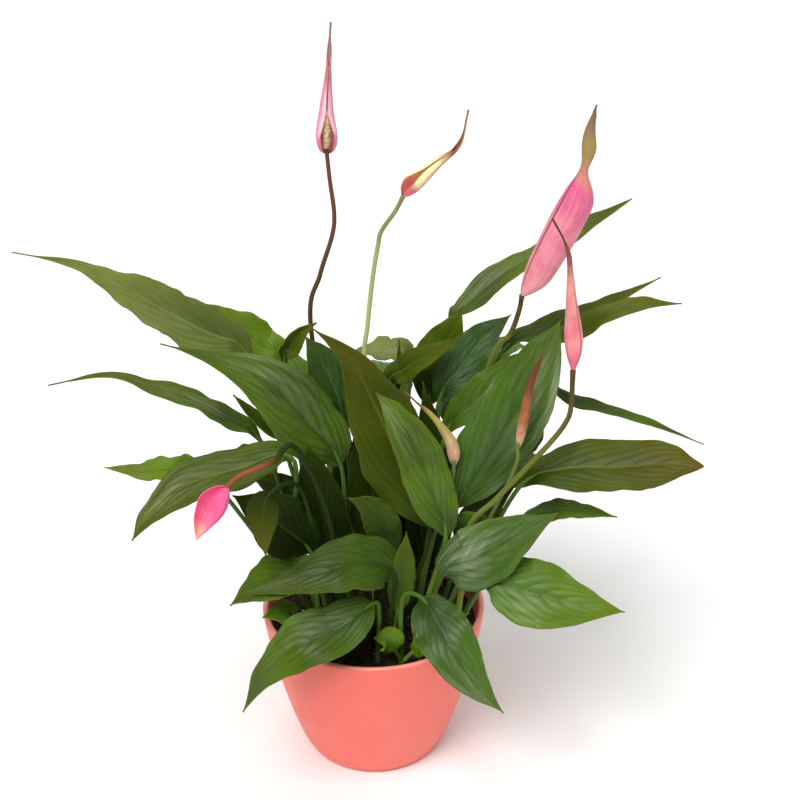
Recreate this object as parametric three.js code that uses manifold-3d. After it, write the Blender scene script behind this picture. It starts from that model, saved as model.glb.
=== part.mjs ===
// A pink-flowering peace lily growing in a coral bowl pot.
// Millimetres, +Z up. The origin is the middle of the pot's flat underside, and -Y is the front.
import * as THREE from 'three';
import { mergeVertices } from 'three/addons/utils/BufferGeometryUtils.js';
import Module from 'manifold-3d';

const POT_RIM_RADIUS = 65;
const POT_FOOT_RADIUS = 40;
const POT_HEIGHT = 94.6;
const POT_WALL = 3.4;
const POT_FLOOR = 5;
const POT_SIDES = 36;
const SOIL_LEVEL = 83;
const SOIL_MOUND = 2;
const HOLE_DEPTH = 9;
const FIT_GAP = 0.3;
const BLADE_THICKNESS = 0.8;
const BLADE_COLUMNS = 2;
const BLADE_ROWS = 6;
const BIG_BLADE_COLUMNS = 4;
const BIG_BLADE_ROWS = 7;
const BIG_BLADE_WIDTH = 30;
const TIGHTEST_ROLL = 0.9;
const LEAST_HALF_WIDTH = 0.35;
const PETIOLE_RADIUS = 1.5;
const PETIOLE_SIDES = 5;
const PETIOLE_ROWS = 4;
const STEM_ROWS = 11;
const HOOD_COLUMNS = 8;
const HOOD_ROWS = 6;
const SPADIX_RADIUS = 2.4;
const SPADIX_SIDES = 10;

const colours = {
  coralPlastic: { color: 0xfa8176, roughness: 0.45 },
  darkPeat: { color: 0x2a2018, roughness: 1 },
  darkLeaf: { color: 0x27481c, roughness: 0.4 },
  midLeaf: { color: 0x3c6423, roughness: 0.4 },
  oliveLeaf: { color: 0x4f5f2a, roughness: 0.42 },
  greyLeaf: { color: 0x6c8044, roughness: 0.6 },
  brightLeaf: { color: 0x55821c, roughness: 0.38 },
  blueLeaf: { color: 0x37583a, roughness: 0.42 },
  silverLeaf: { color: 0x5d7a4c, roughness: 0.35 },
  brownStem: { color: 0x5a4132, roughness: 0.55 },
  paleStem: { color: 0xb4bd78, roughness: 0.5 },
  oliveStem: { color: 0x5b5a30, roughness: 0.5 },
  pinkSpathe: { color: 0xeb82a0, roughness: 0.55 },
  rosySpathe: { color: 0xf578a5, roughness: 0.55 },
  creamSpadix: { color: 0xe9dcae, roughness: 0.8 },
  witheredFlower: { color: 0xb08a5c, roughness: 0.8 },
};

const wasm = await Module();
wasm.setup();

// A closed geometry as a solid that can be joined and cut.
function solidOf(geometry) {
  geometry.deleteAttribute('normal');
  geometry.deleteAttribute('uv');
  const merged = mergeVertices(geometry, 1e-4);
  return new wasm.Manifold(new wasm.Mesh({
    numProp: 3,
    vertProperties: merged.attributes.position.array,
    triVerts: new Uint32Array(merged.index.array),
  }));
}

function meshOf(name, finish, solid) {
  const made = solid.getMesh();
  const geometry = new THREE.BufferGeometry();
  geometry.setAttribute('position', new THREE.BufferAttribute(made.vertProperties, 3));
  geometry.setIndex(new THREE.BufferAttribute(made.triVerts, 1));
  geometry.computeVertexNormals();
  const mesh = new THREE.Mesh(geometry, new THREE.MeshStandardMaterial({ metalness: 0, ...colours[finish] }));
  mesh.name = name;
  return mesh;
}

// Radius of the bowl's outside at a height above the ground.
function bowlRadius(z) {
  const low = Math.max(0, 1 - z / POT_HEIGHT);
  return POT_FOOT_RADIUS + (POT_RIM_RADIUS - POT_FOOT_RADIUS) * (1 - low ** 1.23) ** 0.76;
}

function turned(points) {
  const profile = points.map(([r, z]) => new THREE.Vector2(r, z));
  return solidOf(new THREE.LatheGeometry(profile, POT_SIDES).rotateX(Math.PI / 2));
}

function pot() {
  const lip = POT_WALL / 2;
  const points = [[0, 0], [POT_FOOT_RADIUS - 1.5, 0], [POT_FOOT_RADIUS + 0.3, 1.2]];
  for (const z of [4, 12, 24, 40, 60, 80, POT_HEIGHT - lip]) points.push([bowlRadius(z), z]);
  for (const turn of [0.25, 0.5, 0.75]) {
    const angle = turn * Math.PI;
    const z = POT_HEIGHT - lip + lip * Math.sin(angle);
    points.push([POT_RIM_RADIUS - lip + lip * Math.cos(angle), z]);
  }
  for (const z of [POT_HEIGHT - lip, 60, 30, POT_FLOOR + 3]) points.push([bowlRadius(z) - POT_WALL, z]);
  points.push([POT_FOOT_RADIUS - 3, POT_FLOOR], [0, POT_FLOOR]);
  return turned(points);
}

function soilFill() {
  const inside = POT_WALL + FIT_GAP;
  const points = [[0, POT_FLOOR + FIT_GAP], [POT_FOOT_RADIUS - 4, POT_FLOOR + FIT_GAP]];
  for (const z of [POT_FLOOR + 3, 30, 60, SOIL_LEVEL - 1]) points.push([bowlRadius(z) - inside - 0.6, z]);
  points.push([bowlRadius(SOIL_LEVEL) - inside - 2, SOIL_LEVEL], [38, SOIL_LEVEL + SOIL_MOUND * 0.6]);
  points.push([0, SOIL_LEVEL + SOIL_MOUND]);
  return turned(points);
}

// A plain limb of a few sides along a curve.
function limb(curve, radius, rows) {
  const corners = [];
  for (let i = 0; i < PETIOLE_SIDES; i += 1) {
    const turn = (i / PETIOLE_SIDES) * Math.PI * 2;
    corners.push(new THREE.Vector2(radius * Math.cos(turn), radius * Math.sin(turn)));
  }
  const section = new THREE.Shape(corners);
  return new THREE.ExtrudeGeometry(section, { extrudePath: curve, steps: rows, bevelEnabled: false });
}

// The piece of a curve between two places along it.
function stretch(curve, from, to, count = 14) {
  const points = [];
  for (let i = 0; i <= count; i += 1) points.push(curve.getPoint(from + ((to - from) * i) / count));
  return new THREE.CatmullRomCurve3(points, false, 'catmullrom', 0.5);
}

function vector([x, y, z]) {
  return new THREE.Vector3(x, y, z);
}

// Half the width of a blade along its length, as a share of its widest half. The first power makes the foot
// blunt or tapering, the second one draws the tip out.
function outline(v, foot, tip) {
  const widest = foot / (foot + tip);
  return (v ** foot * (1 - v) ** tip) / (widest ** foot * (1 - widest) ** tip);
}

// A point of a blade: u runs across from -1 to 1, v along the midrib from 0 to 1.
function bladePoint(blade, u, v) {
  const spine = blade.spine;
  const tangent = spine.getTangent(v);
  const face = vector(blade.face);
  face.addScaledVector(tangent, -face.dot(tangent)).normalize();
  face.applyAxisAngle(tangent, (blade.twist ?? 0) * v);
  const side = new THREE.Vector3().crossVectors(tangent, face);
  const waist = blade.waist ? 1 - 0.72 * Math.exp(-(((v - blade.waist) / 0.09) ** 2)) : 1;
  const share = waist * outline(v, blade.blunt ?? 0.75, blade.sharp ?? 1.3);
  const half = Math.max(LEAST_HALF_WIDTH, (blade.width / 2) * share);
  const curl = Math.min(blade.curl ?? 0.01, half / TIGHTEST_ROLL);
  const along = half * Math.sin(curl * u) / curl;
  let lift = half * (1 - Math.cos(curl * u)) / curl;
  lift += half * (blade.fold ?? 0) * (Math.abs(u) - 0.45 * u * u);
  const ripple = Math.sin(Math.PI * 2 * (blade.waves ?? 2.5) * v + (u > 0 ? 0 : 2) + (blade.phase ?? 0));
  lift += (blade.wave ?? 0) * u * u * ripple * Math.min(1, half / 8);
  return spine.getPoint(v).addScaledVector(side, along).addScaledVector(face, lift);
}

function bladeNormal(blade, u, v) {
  const step = 0.02;
  const low = Math.max(0, v - step);
  const high = Math.min(1, v + step);
  const across = bladePoint(blade, u + step, v).sub(bladePoint(blade, u - step, v));
  const along = bladePoint(blade, u, high).sub(bladePoint(blade, u, low));
  return across.cross(along).normalize();
}

// A thin blade with both faces split alike and a wall all round its margin.
function bladeSolid(blade) {
  const big = blade.width > BIG_BLADE_WIDTH;
  const columns = blade.columns ?? (big ? BIG_BLADE_COLUMNS : BLADE_COLUMNS);
  const rows = blade.rows ?? (big ? BIG_BLADE_ROWS : BLADE_ROWS);
  const sheet = new THREE.PlaneGeometry(2, 1, columns, rows);
  const grid = sheet.attributes.position;
  const count = grid.count;
  const places = [];
  for (const way of [0.5, -0.5]) {
    for (let i = 0; i < count; i += 1) {
      const u = grid.getX(i);
      const v = (grid.getY(i) + 0.5) ** (blade.crowding ?? 1);
      const point = bladePoint(blade, u, v);
      point.addScaledVector(bladeNormal(blade, u, v), way * BLADE_THICKNESS);
      places.push(point.x, point.y, point.z);
    }
  }
  const faces = [];
  const index = sheet.index.array;
  for (let i = 0; i < index.length; i += 3) {
    const [a, b, c] = [index[i], index[i + 1], index[i + 2]];
    faces.push(a, b, c, c + count, b + count, a + count);
  }
  for (const [a, b] of marginEdges(columns, rows)) faces.push(a, a + count, b, b, a + count, b + count);
  const closed = new THREE.BufferGeometry();
  closed.setAttribute('position', new THREE.Float32BufferAttribute(places, 3));
  closed.setIndex(faces);
  return solidOf(closed);
}

// The grid's outer edges, each as a pair of vertices in the order its own face has them.
function marginEdges(columns, rows) {
  const at = (row, column) => row * (columns + 1) + column;
  const edges = [];
  for (let c = 0; c < columns; c += 1) {
    edges.push([at(0, c + 1), at(0, c)]);
    edges.push([at(rows, c), at(rows, c + 1)]);
  }
  for (let r = 0; r < rows; r += 1) {
    edges.push([at(r, 0), at(r + 1, 0)]);
    edges.push([at(r + 1, columns), at(r, columns)]);
  }
  return edges;
}

// The way a leaf or a flower stem grows: up out of the soil, over its knee, then on through its later points.
// The curve is given with the place on it of the first later point.
function growth(foot, rise, later) {
  const start = new THREE.Vector3(foot[0], foot[1], SOIL_LEVEL - HOLE_DEPTH);
  const first = vector(later[0]);
  const knee = rise ? vector(rise) : start.clone().lerp(first, 0.45).setZ(start.z * 0.45 + first.z * 0.55);
  const collar = start.clone().setZ(SOIL_LEVEL + 4).lerp(knee, 0.06);
  const points = [start, collar, knee, ...later.map(vector)];
  const step = 1 / (points.length - 1);
  return { curve: new THREE.CatmullRomCurve3(points, false, 'catmullrom', 0.5), first: 3 * step };
}

// A stem with the hole that it stands in, which is a little wider and deeper.
function rooted(curve, radius, rows) {
  const wide = radius + FIT_GAP / Math.cos(Math.PI / PETIOLE_SIDES);
  const hole = limb(curve, wide, rows).translate(0, 0, -FIT_GAP);
  return { solid: solidOf(limb(curve, radius, rows)), hole: solidOf(hole) };
}

// A leaf's blade and its petiole, from a share of its first third upwards.
function leafFrom(plant, low) {
  const way = growth(plant.foot, plant.rise, plant.blade);
  const blade = bladeSolid({ ...plant, spine: stretch(way.curve, way.first, 1) });
  const petiole = stretch(way.curve, low * way.first / 3, way.first + 0.1 * (1 - way.first));
  return { blade, petiole };
}

// One leaf, or a few that share a sheath: the others leave it just above the soil.
function leaf(plant) {
  const main = leafFrom(plant, 0);
  const made = rooted(main.petiole, PETIOLE_RADIUS, PETIOLE_ROWS);
  made.solid = made.solid.add(main.blade);
  for (const other of plant.sharing ?? []) {
    const also = leafFrom({ foot: plant.foot, ...other }, 1);
    made.solid = made.solid.add(solidOf(limb(also.petiole, PETIOLE_RADIUS, PETIOLE_ROWS))).add(also.blade);
  }
  return made;
}

const leaves = [
  { name: 'leaf_left_long', finish: 'greyLeaf', foot: [-26, 6], width: 28, face: [0.2, -0.75, 0.65],
    fold: 0.2, wave: 2, sharp: 1.9,
    blade: [[-65, 12, 245], [-87, 4, 264], [-107, -4, 280], [-126, -10, 295], [-148, -14, 309],
      [-178, -20, 318]] },
  { name: 'leaf_left_bright', finish: 'brightLeaf', foot: [-24, 28], width: 26, face: [0.3, -0.4, 0.8],
    fold: 0.3, wave: 1, blade: [[-49, 34, 231], [-62, 34, 244], [-78, 34, 258], [-93, 32, 270]] },
  { name: 'leaf_left_broad', finish: 'midLeaf', foot: [-14, -10], width: 38, face: [0.3, -0.8, 0.5],
    fold: 0.2, wave: 2, sharp: 1.9,
    blade: [[-17, -8, 190], [-33, -12, 216], [-52, -22, 245], [-76, -32, 264], [-104, -40, 277]] },
  { name: 'leaf_left_slim', finish: 'midLeaf', foot: [-32, -8], width: 16, face: [0.1, -0.3, 0.95], fold: 0.2,
    wave: 1, sharp: 1.6,
    blade: [[-58, -18, 209], [-75, -22, 226], [-91, -26, 238], [-110, -32, 249], [-132, -38, 259],
      [-161, -46, 257]],
    sharing: [{ width: 9, face: [0.3, -0.8, 0.5], curl: 1, rise: [-36, -11, 150],
      blade: [[-40, -14, 205], [-53, -16, 216], [-64, -18, 228], [-72, -20, 239]] },
    { width: 26, face: [0.2, -0.9, 0.3], fold: 0.2,
      blade: [[-30, -12, 132], [-41, -13, 163], [-52, -15, 180], [-66, -17, 188]] }] },
  { name: 'leaf_left_small', finish: 'brightLeaf', foot: [-38, 2], width: 18, face: [0, -0.3, 0.95],
    fold: 0.2, wave: 1, blade: [[-95, -4, 185], [-113, -2, 184], [-130, 0, 182], [-150, 2, 183]] },
  { name: 'leaf_left_drooping', finish: 'oliveLeaf', foot: [-28, -14], width: 27, face: [-0.2, -0.5, 0.8],
    fold: 0.15, wave: 1.5, rise: [-42, -24, 150],
    blade: [[-41, -34, 209], [-69, -40, 206], [-95, -46, 200], [-114, -54, 187], [-124, -60, 174]] },
  { name: 'leaf_back_left_blue', finish: 'blueLeaf', foot: [-8, 4], width: 28, face: [0.3, -0.9, 0.3],
    fold: 0.2, wave: 1, blade: [[-15, 8, 202], [-19, 8, 225], [-27, 10, 244], [-36, 12, 259]],
    sharing: [{ width: 26, face: [0.1, -0.9, 0.3], fold: 0.2,
      blade: [[-10, 6, 112], [-13, 9, 145], [-14, 10, 178], [-15, 10, 205]] }] },
  { name: 'leaf_middle_long', finish: 'oliveLeaf', foot: [16, -24], width: 42, face: [0.2, -0.9, 0.3],
    fold: 0.2, wave: 1.5, sharp: 1.8,
    blade: [[32, -24, 160], [17, -16, 194], [3, -8, 224], [-11, 0, 250], [-34, 8, 267]] },
  { name: 'leaf_middle_bright', finish: 'midLeaf', foot: [24, -32], width: 26, face: [0.3, -0.9, 0.2],
    fold: 0.2, wave: 1,
    blade: [[40, -44, 166], [34, -42, 188], [25, -38, 213], [13, -34, 234], [3, -30, 245]] },
  { name: 'leaf_back_rolled', finish: 'oliveLeaf', foot: [-22, 18], width: 12, face: [0.3, -0.8, 0.3],
    curl: 0.9, blade: [[-48, 20, 237], [-45, 20, 248], [-39, 20, 257], [-30, 20, 263]] },
  { name: 'leaf_back_grey', finish: 'greyLeaf', foot: [14, 32], width: 18, face: [0, -0.4, 0.9], fold: 0.2,
    wave: 1.5, blade: [[21, 44, 230], [11, 42, 237], [0, 40, 238], [-12, 38, 238]] },
  { name: 'leaf_back_twisted', finish: 'oliveLeaf', foot: [6, 18], width: 16, face: [0.2, -0.5, 0.8],
    fold: 0.2, twist: 0.5, blade: [[8, 14, 225], [18, 12, 239], [32, 6, 251], [49, 0, 264]],
    sharing: [{ width: 5, face: [0, -1, 0.1], fold: 0.6,
      blade: [[14, 24, 217], [15, 25, 232], [15, 26, 251]] }] },
  { name: 'leaf_right_arching', finish: 'midLeaf', foot: [28, 22], width: 18, face: [-0.1, -0.3, 0.9],
    fold: 0.25, sharp: 0.9, wave: 1.5,
    blade: [[43, 32, 254], [51, 36, 266], [69, 42, 280], [91, 48, 292], [118, 56, 306], [144, 62, 320]] },
  { name: 'leaf_right_upright', finish: 'midLeaf', foot: [22, 16], width: 30, face: [-0.1, -0.9, 0.2],
    fold: 0.2, wave: 1, blade: [[31, 22, 211], [36, 24, 233], [42, 26, 252], [50, 28, 268]] },
  { name: 'leaf_right_blue', finish: 'blueLeaf', foot: [28, 8], width: 26, face: [-0.1, -0.9, 0.3], fold: 0.2,
    wave: 1, blade: [[37, 10, 220], [49, 12, 240], [61, 16, 256], [76, 20, 268]] },
  { name: 'leaf_right_slim_high', finish: 'midLeaf', foot: [36, 22], width: 16, face: [0, -0.4, 0.9],
    fold: 0.3, wave: 1, blade: [[72, 30, 240], [97, 28, 256], [123, 26, 269], [156, 24, 288]] },
  { name: 'leaf_right_slim_low', finish: 'midLeaf', foot: [42, 12], width: 16, face: [0, -0.4, 0.9],
    fold: 0.3, wave: 1, blade: [[92, 6, 249], [112, 2, 268], [137, -2, 282], [162, -6, 285]] },
  { name: 'leaf_right_strap', finish: 'midLeaf', foot: [26, -4], width: 20, face: [-0.2, -0.7, 0.6],
    fold: 0.2, wave: 1, blade: [[40, -12, 211], [54, -11, 230], [72, -8, 247], [89, -4, 260]] },
  { name: 'leaf_right_silver', finish: 'silverLeaf', foot: [26, -22], width: 38, face: [-0.2, -0.9, 0.2],
    fold: 0.15, wave: 1.5,
    blade: [[46, -30, 176], [62, -26, 206], [79, -20, 236], [91, -14, 261], [99, -8, 276]],
    sharing: [{ width: 20, face: [0, -0.8, 0.5], fold: 0.2, rise: [38, -28, 128],
      blade: [[48, -36, 158], [54, -38, 170], [61, -40, 177]] }] },
  { name: 'leaf_right_edge', finish: 'greyLeaf', foot: [44, 0], width: 20, face: [-0.9, -0.3, 0.2], fold: 0.2,
    wave: 1, blade: [[80, -2, 184], [90, 4, 202], [97, 10, 226], [101, 14, 249]] },
  { name: 'leaf_right_olive', finish: 'oliveLeaf', foot: [44, -12], width: 32, face: [0.1, -0.5, 0.8],
    fold: 0.2, sharp: 0.85, wave: 1.5,
    blade: [[80, -36, 194], [102, -40, 206], [128, -44, 209], [151, -48, 213], [171, -52, 214]],
    sharing: [{ rise: [51, -16.5, 110], width: 20, face: [0, -0.8, 0.5], fold: 0.2,
      blade: [[52, -17, 134], [56, -18, 157], [66, -22, 174], [78, -26, 188]] }] },
  { name: 'leaf_right_behind', finish: 'midLeaf', foot: [46, 8], width: 11, face: [0, -0.2, 1], fold: 0.2,
    wave: 1, blade: [[92, 24, 219], [115, 24, 213], [150, 24, 203], [190, 24, 186]] },
  { name: 'leaf_low_right_silver', finish: 'silverLeaf', foot: [32, -42], width: 34, face: [0, -0.8, 0.5],
    fold: 0.2, wave: 1, blade: [[37, -50, 147], [55, -54, 159], [75, -58, 176], [97, -60, 191]] },
  { name: 'leaf_low_right_thin', finish: 'midLeaf', foot: [48, -20], width: 14, face: [0, -0.3, 0.9],
    fold: 0.2, wave: 1, blade: [[80, -34, 169], [98, -38, 179], [114, -42, 181], [130, -46, 180]] },
  { name: 'leaf_low_right_bright', finish: 'brightLeaf', foot: [40, -37], width: 36, face: [0, -0.75, 0.6],
    fold: 0.2, wave: 1,
    blade: [[60, -58, 146], [83, -66, 146], [106, -72, 143], [132, -78, 142]] },
  { name: 'leaf_front_right_drooping', finish: 'silverLeaf', foot: [16, -42], width: 30,
    face: [0.1, -0.8, 0.6], fold: 0.2, wave: 1, rise: [17, -46, 128],
    blade: [[27, -58, 137], [35, -72, 131], [43, -84, 122], [55, -92, 106], [70, -94, 89]] },
  { name: 'leaf_front_left_drooping', finish: 'midLeaf', foot: [3, -42], width: 32, face: [-0.2, -0.6, 0.8],
    fold: 0.2, wave: 1, rise: [4, -44, 116],
    blade: [[1, -50, 128], [-17, -60, 119], [-38, -66, 112], [-57, -66, 94], [-72, -62, 63]] },
  { name: 'leaf_front_wide', finish: 'midLeaf', foot: [9, -35], width: 32, face: [0, -0.6, 0.8], fold: 0.2,
    wave: 1, blunt: 0.5, sharp: 1.5,
    blade: [[12, -40, 141], [-6, -47, 152], [-27, -52, 149], [-49, -52, 141], [-73, -47, 131]],
    sharing: [{ width: 15, face: [0.1, -0.9, 0.3], fold: 0.2,
      blade: [[14, -37, 112], [16, -38, 132], [18, -38, 150], [19, -37, 165]] }] },
  { name: 'leaf_front_under', finish: 'midLeaf', foot: [-28, -40], width: 28, face: [0, -0.5, 0.8], fold: 0.2,
    blade: [[-32, -43, 143], [-47, -43, 142], [-63, -41, 133], [-79, -37, 117]] },
  { name: 'leaf_rim_curly', finish: 'brightLeaf', foot: [-36, -26], width: 16, face: [0, -0.5, 0.8],
    fold: 0.2, wave: 2, blade: [[-43, -32, 106], [-50, -36, 112], [-61, -40, 111]] },
  { name: 'leaf_soil_pair', finish: 'brightLeaf', foot: [16, -49], width: 16, face: [0, -0.7, 0.7], fold: 0.2,
    rise: [16, -49, 89], blade: [[13, -49, 95], [9, -50, 104], [1, -52, 106]],
    sharing: [{ width: 12, face: [0, -0.5, 0.8], fold: 0.2, rise: [18, -48, 88],
      blade: [[22, -47, 92], [28, -49, 99], [35, -51, 101]] }] },
  { name: 'leaf_inner_broad', finish: 'darkLeaf', foot: [-22, -28], width: 33, face: [0, -0.7, 0.6],
    fold: 0.2, wave: 1,
    blade: [[-33, -34, 150], [-46, -39, 168], [-58, -43, 182], [-72, -46, 193]],
    sharing: [{ width: 18, face: [-0.3, -0.9, 0.2], fold: 0.2, rise: [-36, -34, 186],
      blade: [[-51, -58, 201], [-55, -63, 188], [-54, -66, 168]] }] },
  { name: 'leaf_inner_front', finish: 'midLeaf', foot: [0, -28], width: 20, face: [0.2, -0.9, 0.3], fold: 0.2,
    blade: [[10, -25, 138], [6, -28, 163], [-1, -33, 178], [-12, -37, 186]] },
  { name: 'leaf_inner_dark_left', finish: 'darkLeaf', foot: [-8, -20], width: 28, face: [0.2, -0.9, 0.3],
    fold: 0.2, blade: [[-19, -17, 120], [-26, -19, 157], [-31, -21, 190], [-34, -22, 211]] },
  { name: 'leaf_inner_dark_middle', finish: 'darkLeaf', foot: [0, -8], width: 28, face: [0.1, -0.9, 0.3],
    fold: 0.2, blade: [[3, -7, 126], [1, -5, 160], [-3, -2, 192], [-9, 2, 218]] },
  { name: 'leaf_inner_dark_right', finish: 'darkLeaf', foot: [20, 2], width: 28, face: [0, -0.9, 0.3],
    fold: 0.2, blade: [[29, 1, 112], [33, 0, 156], [33, 2, 198], [28, 4, 235]],
    sharing: [{ width: 24, face: [0, -0.9, 0.3], fold: 0.2,
      blade: [[17, 6, 108], [15, 9, 140], [14, 10, 172], [12, 10, 198]] }] },
  { name: 'leaf_rear_middle', finish: 'midLeaf', foot: [2, 42], width: 36, face: [0, 0.4, 0.9], fold: 0.2,
    wave: 1.5, blade: [[4, 70, 170], [6, 100, 192], [8, 128, 190], [10, 156, 165]] },
  { name: 'leaf_rear_left', finish: 'midLeaf', foot: [-14, 36], width: 36, face: [-0.3, 0.3, 0.9], fold: 0.2,
    wave: 1.5, blade: [[-34, 66, 175], [-54, 92, 196], [-74, 118, 195], [-94, 144, 172]] },
  { name: 'leaf_rear_right', finish: 'midLeaf', foot: [20, 40], width: 36, face: [0.3, 0.3, 0.9], fold: 0.2,
    wave: 1.5, blade: [[42, 64, 180], [62, 86, 208], [84, 108, 212], [108, 130, 194]] },
  { name: 'leaf_rear_far_left', finish: 'oliveLeaf', foot: [-30, 32], width: 32, face: [-0.3, 0.1, 0.9],
    fold: 0.2, wave: 1.5, blade: [[-60, 46, 150], [-78, 58, 156], [-96, 70, 150], [-112, 84, 134]] },
  { name: 'leaf_rear_far_right', finish: 'oliveLeaf', foot: [34, 30], width: 32, face: [0.3, 0.1, 0.9],
    fold: 0.2, wave: 1.5, blade: [[66, 44, 140], [92, 58, 150], [118, 70, 146], [142, 84, 132]] },
  { name: 'leaf_rear_low_left', finish: 'brightLeaf', foot: [-6, 46], width: 28, face: [-0.2, 0.6, 0.8],
    fold: 0.2, wave: 1, blade: [[-14, 70, 122], [-20, 90, 128], [-28, 110, 118], [-36, 128, 92]] },
  { name: 'leaf_rear_low_right', finish: 'brightLeaf', foot: [14, 50], width: 28, face: [0.2, 0.6, 0.8],
    fold: 0.2, wave: 1, blade: [[26, 70, 122], [38, 88, 126], [52, 104, 110], [64, 116, 84]] },
];

const blooms = [
  { name: 'bloom_tall', foot: [-16, 26], radius: 1.3, stemFinish: 'brownStem',
    stem: [[-34, 30, 259], [-28, 30, 287], [-21, 30, 309], [-19.5, 30, 322], [-21.5, 30, 341],
      [-23, 30, 360]],
    hood: [[-23, 34.5, 354], [-23, 34, 374], [-21, 31, 396], [-19, 30, 421]],
    hoodFinish: 'pinkSpathe', width: 25, curl: 2.4, face: [0.15, -1, 0], blunt: 0.45, sharp: 2,
    spadix: [[-23, 29.4, 360.6], [-22, 28, 378]] },
  { name: 'bloom_second', foot: [0, 15], radius: 1.3, stemFinish: 'paleStem',
    stem: [[-4, 14, 241], [-2, 12, 265], [1, 8, 293], [4, 6, 312], [6, 4, 321], [13, 2, 332], [17, 2, 340]],
    hood: [[17.4, 2, 340.6], [26, 2, 348.5], [35, 2, 357], [45, 2, 366.5], [49, 2, 384]],
    hoodFinish: 'pinkSpathe', width: 22, curl: 2.6, face: [-0.5, -0.9, 0.4], blunt: 0.65, sharp: 2.5 },
  { name: 'bloom_large', foot: [32, 2], radius: 1.5, stemFinish: 'oliveStem',
    stem: [[64, 2, 248], [74, 2, 264], [78, 0, 278], [79, -2, 287]],
    hood: [[79, -2.2, 287.6], [82, -4, 299], [91, -6, 322], [100, -6, 342], [106, -4, 357], [107, -2, 372],
      [112, 0, 387]],
    hoodFinish: 'pinkSpathe', width: 37, curl: 2.2, face: [0.75, 0.5, 0.3], blunt: 0.75, sharp: 1.3,
    waist: 0.66 },
  { name: 'bloom_bud', foot: [47, -31], radius: 1.5, stemFinish: 'oliveStem',
    stem: [[52, -42, 170], [66, -46, 191], [79, -50, 210], [93, -46, 225], [101, -38, 232], [104, -32, 238],
      [105, -24, 254]],
    hood: [[105, -24, 254.6], [103, -24, 272], [101.5, -22, 293], [99, -20, 319], [91, -18, 335]],
    hoodFinish: 'rosySpathe', width: 21, curl: 2.5, face: [0.4, 0.9, 0], blunt: 1, sharp: 3.2 },
  { name: 'bloom_hanging', foot: [-16, -30], radius: 1.5, stemFinish: 'brownStem', rise: [-22, -32, 165],
    stem: [[-38, -46, 221], [-49, -53, 217], [-59, -56, 214], [-67, -58, 211], [-72, -60, 207]],
    hood: [[-72.3, -60.1, 206.4], [-77, -63, 197], [-83, -66, 189], [-89, -68, 180]],
    hoodFinish: 'rosySpathe', width: 26, curl: 1.8, face: [-0.4, -0.8, 0.4], blunt: 0.6, sharp: 1.2 },
  { name: 'flower_tan', foot: [24, -15], radius: 1.2, stemFinish: 'witheredFlower', rise: [34, -19, 150],
    stem: [[43, -29, 190], [44, -31, 205]],
    hood: [[44, -31, 203], [41, -30, 215], [32, -28, 230], [18, -24, 243]],
    width: 14, curl: 2.3, face: [0.3, 0.9, 0.2], blunt: 0.6, sharp: 2.2 },
  { name: 'flower_brown', foot: [37, -22], radius: 1.1, stemFinish: 'witheredFlower',
    stem: [[75, -36, 201], [77, -36, 218]],
    hood: [[77, -36, 216], [79, -36, 232], [82, -35, 252], [88, -34, 269]],
    width: 9, curl: 2, face: [0.3, 0.9, 0], blunt: 0.6, sharp: 1.2 },
];

function flowerStem(bloom) {
  const way = growth(bloom.foot, bloom.rise, bloom.stem);
  return rooted(stretch(way.curve, 0, 1, 30), bloom.radius, STEM_ROWS);
}

// The hood of a flower: one leaf-like sheet rolled round in front of its own midrib.
function hood(bloom) {
  const spine = new THREE.CatmullRomCurve3(bloom.hood.map(vector), false, 'catmullrom', 0.5);
  return bladeSolid({ ...bloom, spine, columns: HOOD_COLUMNS, rows: HOOD_ROWS, crowding: 1.4 });
}

// The spike in a hood: a slim round body from its foot to its tip.
function spadix(bloom) {
  const foot = vector(bloom.spadix[0]);
  const tip = vector(bloom.spadix[1]);
  const length = foot.distanceTo(tip);
  const profile = [new THREE.Vector2(0, 0)];
  for (const share of [0.02, 0.25, 0.5, 0.75, 0.92]) {
    profile.push(new THREE.Vector2(SPADIX_RADIUS * Math.sin(Math.PI * (0.2 + 0.75 * share)), length * share));
  }
  profile.push(new THREE.Vector2(0, length));
  const way = tip.clone().sub(foot).normalize();
  const turn = new THREE.Quaternion().setFromUnitVectors(new THREE.Vector3(0, 1, 0), way);
  const body = new THREE.LatheGeometry(profile, SPADIX_SIDES).applyQuaternion(turn);
  return solidOf(body.translate(foot.x, foot.y, foot.z));
}

const plant = new THREE.Group();
let soil = soilFill();
for (const spec of leaves) {
  const made = leaf(spec);
  plant.add(meshOf(spec.name, spec.finish, made.solid));
  soil = soil.subtract(made.hole);
}
for (const bloom of blooms) {
  const made = flowerStem(bloom);
  if (bloom.hoodFinish) {
    plant.add(meshOf(`${bloom.name}_stem`, bloom.stemFinish, made.solid));
    plant.add(meshOf(`${bloom.name}_hood`, bloom.hoodFinish, hood(bloom)));
  } else {
    plant.add(meshOf(bloom.name, bloom.stemFinish, made.solid.add(hood(bloom))));
  }
  if (bloom.spadix) plant.add(meshOf(`${bloom.name}_spadix`, 'creamSpadix', spadix(bloom)));
  soil = soil.subtract(made.hole);
}
plant.add(meshOf('pot', 'coralPlastic', pot()));
plant.add(meshOf('soil', 'darkPeat', soil));

export default plant;
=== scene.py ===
# The looks of a pink-flowering peace lily in its coral bowl pot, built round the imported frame.
# Places are given in millimetres, +Z up and -Y the front, and each mesh is made metres as it is finished.
import math
import random

import bmesh
import bpy
from mathutils import Matrix, Vector, noise


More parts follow.
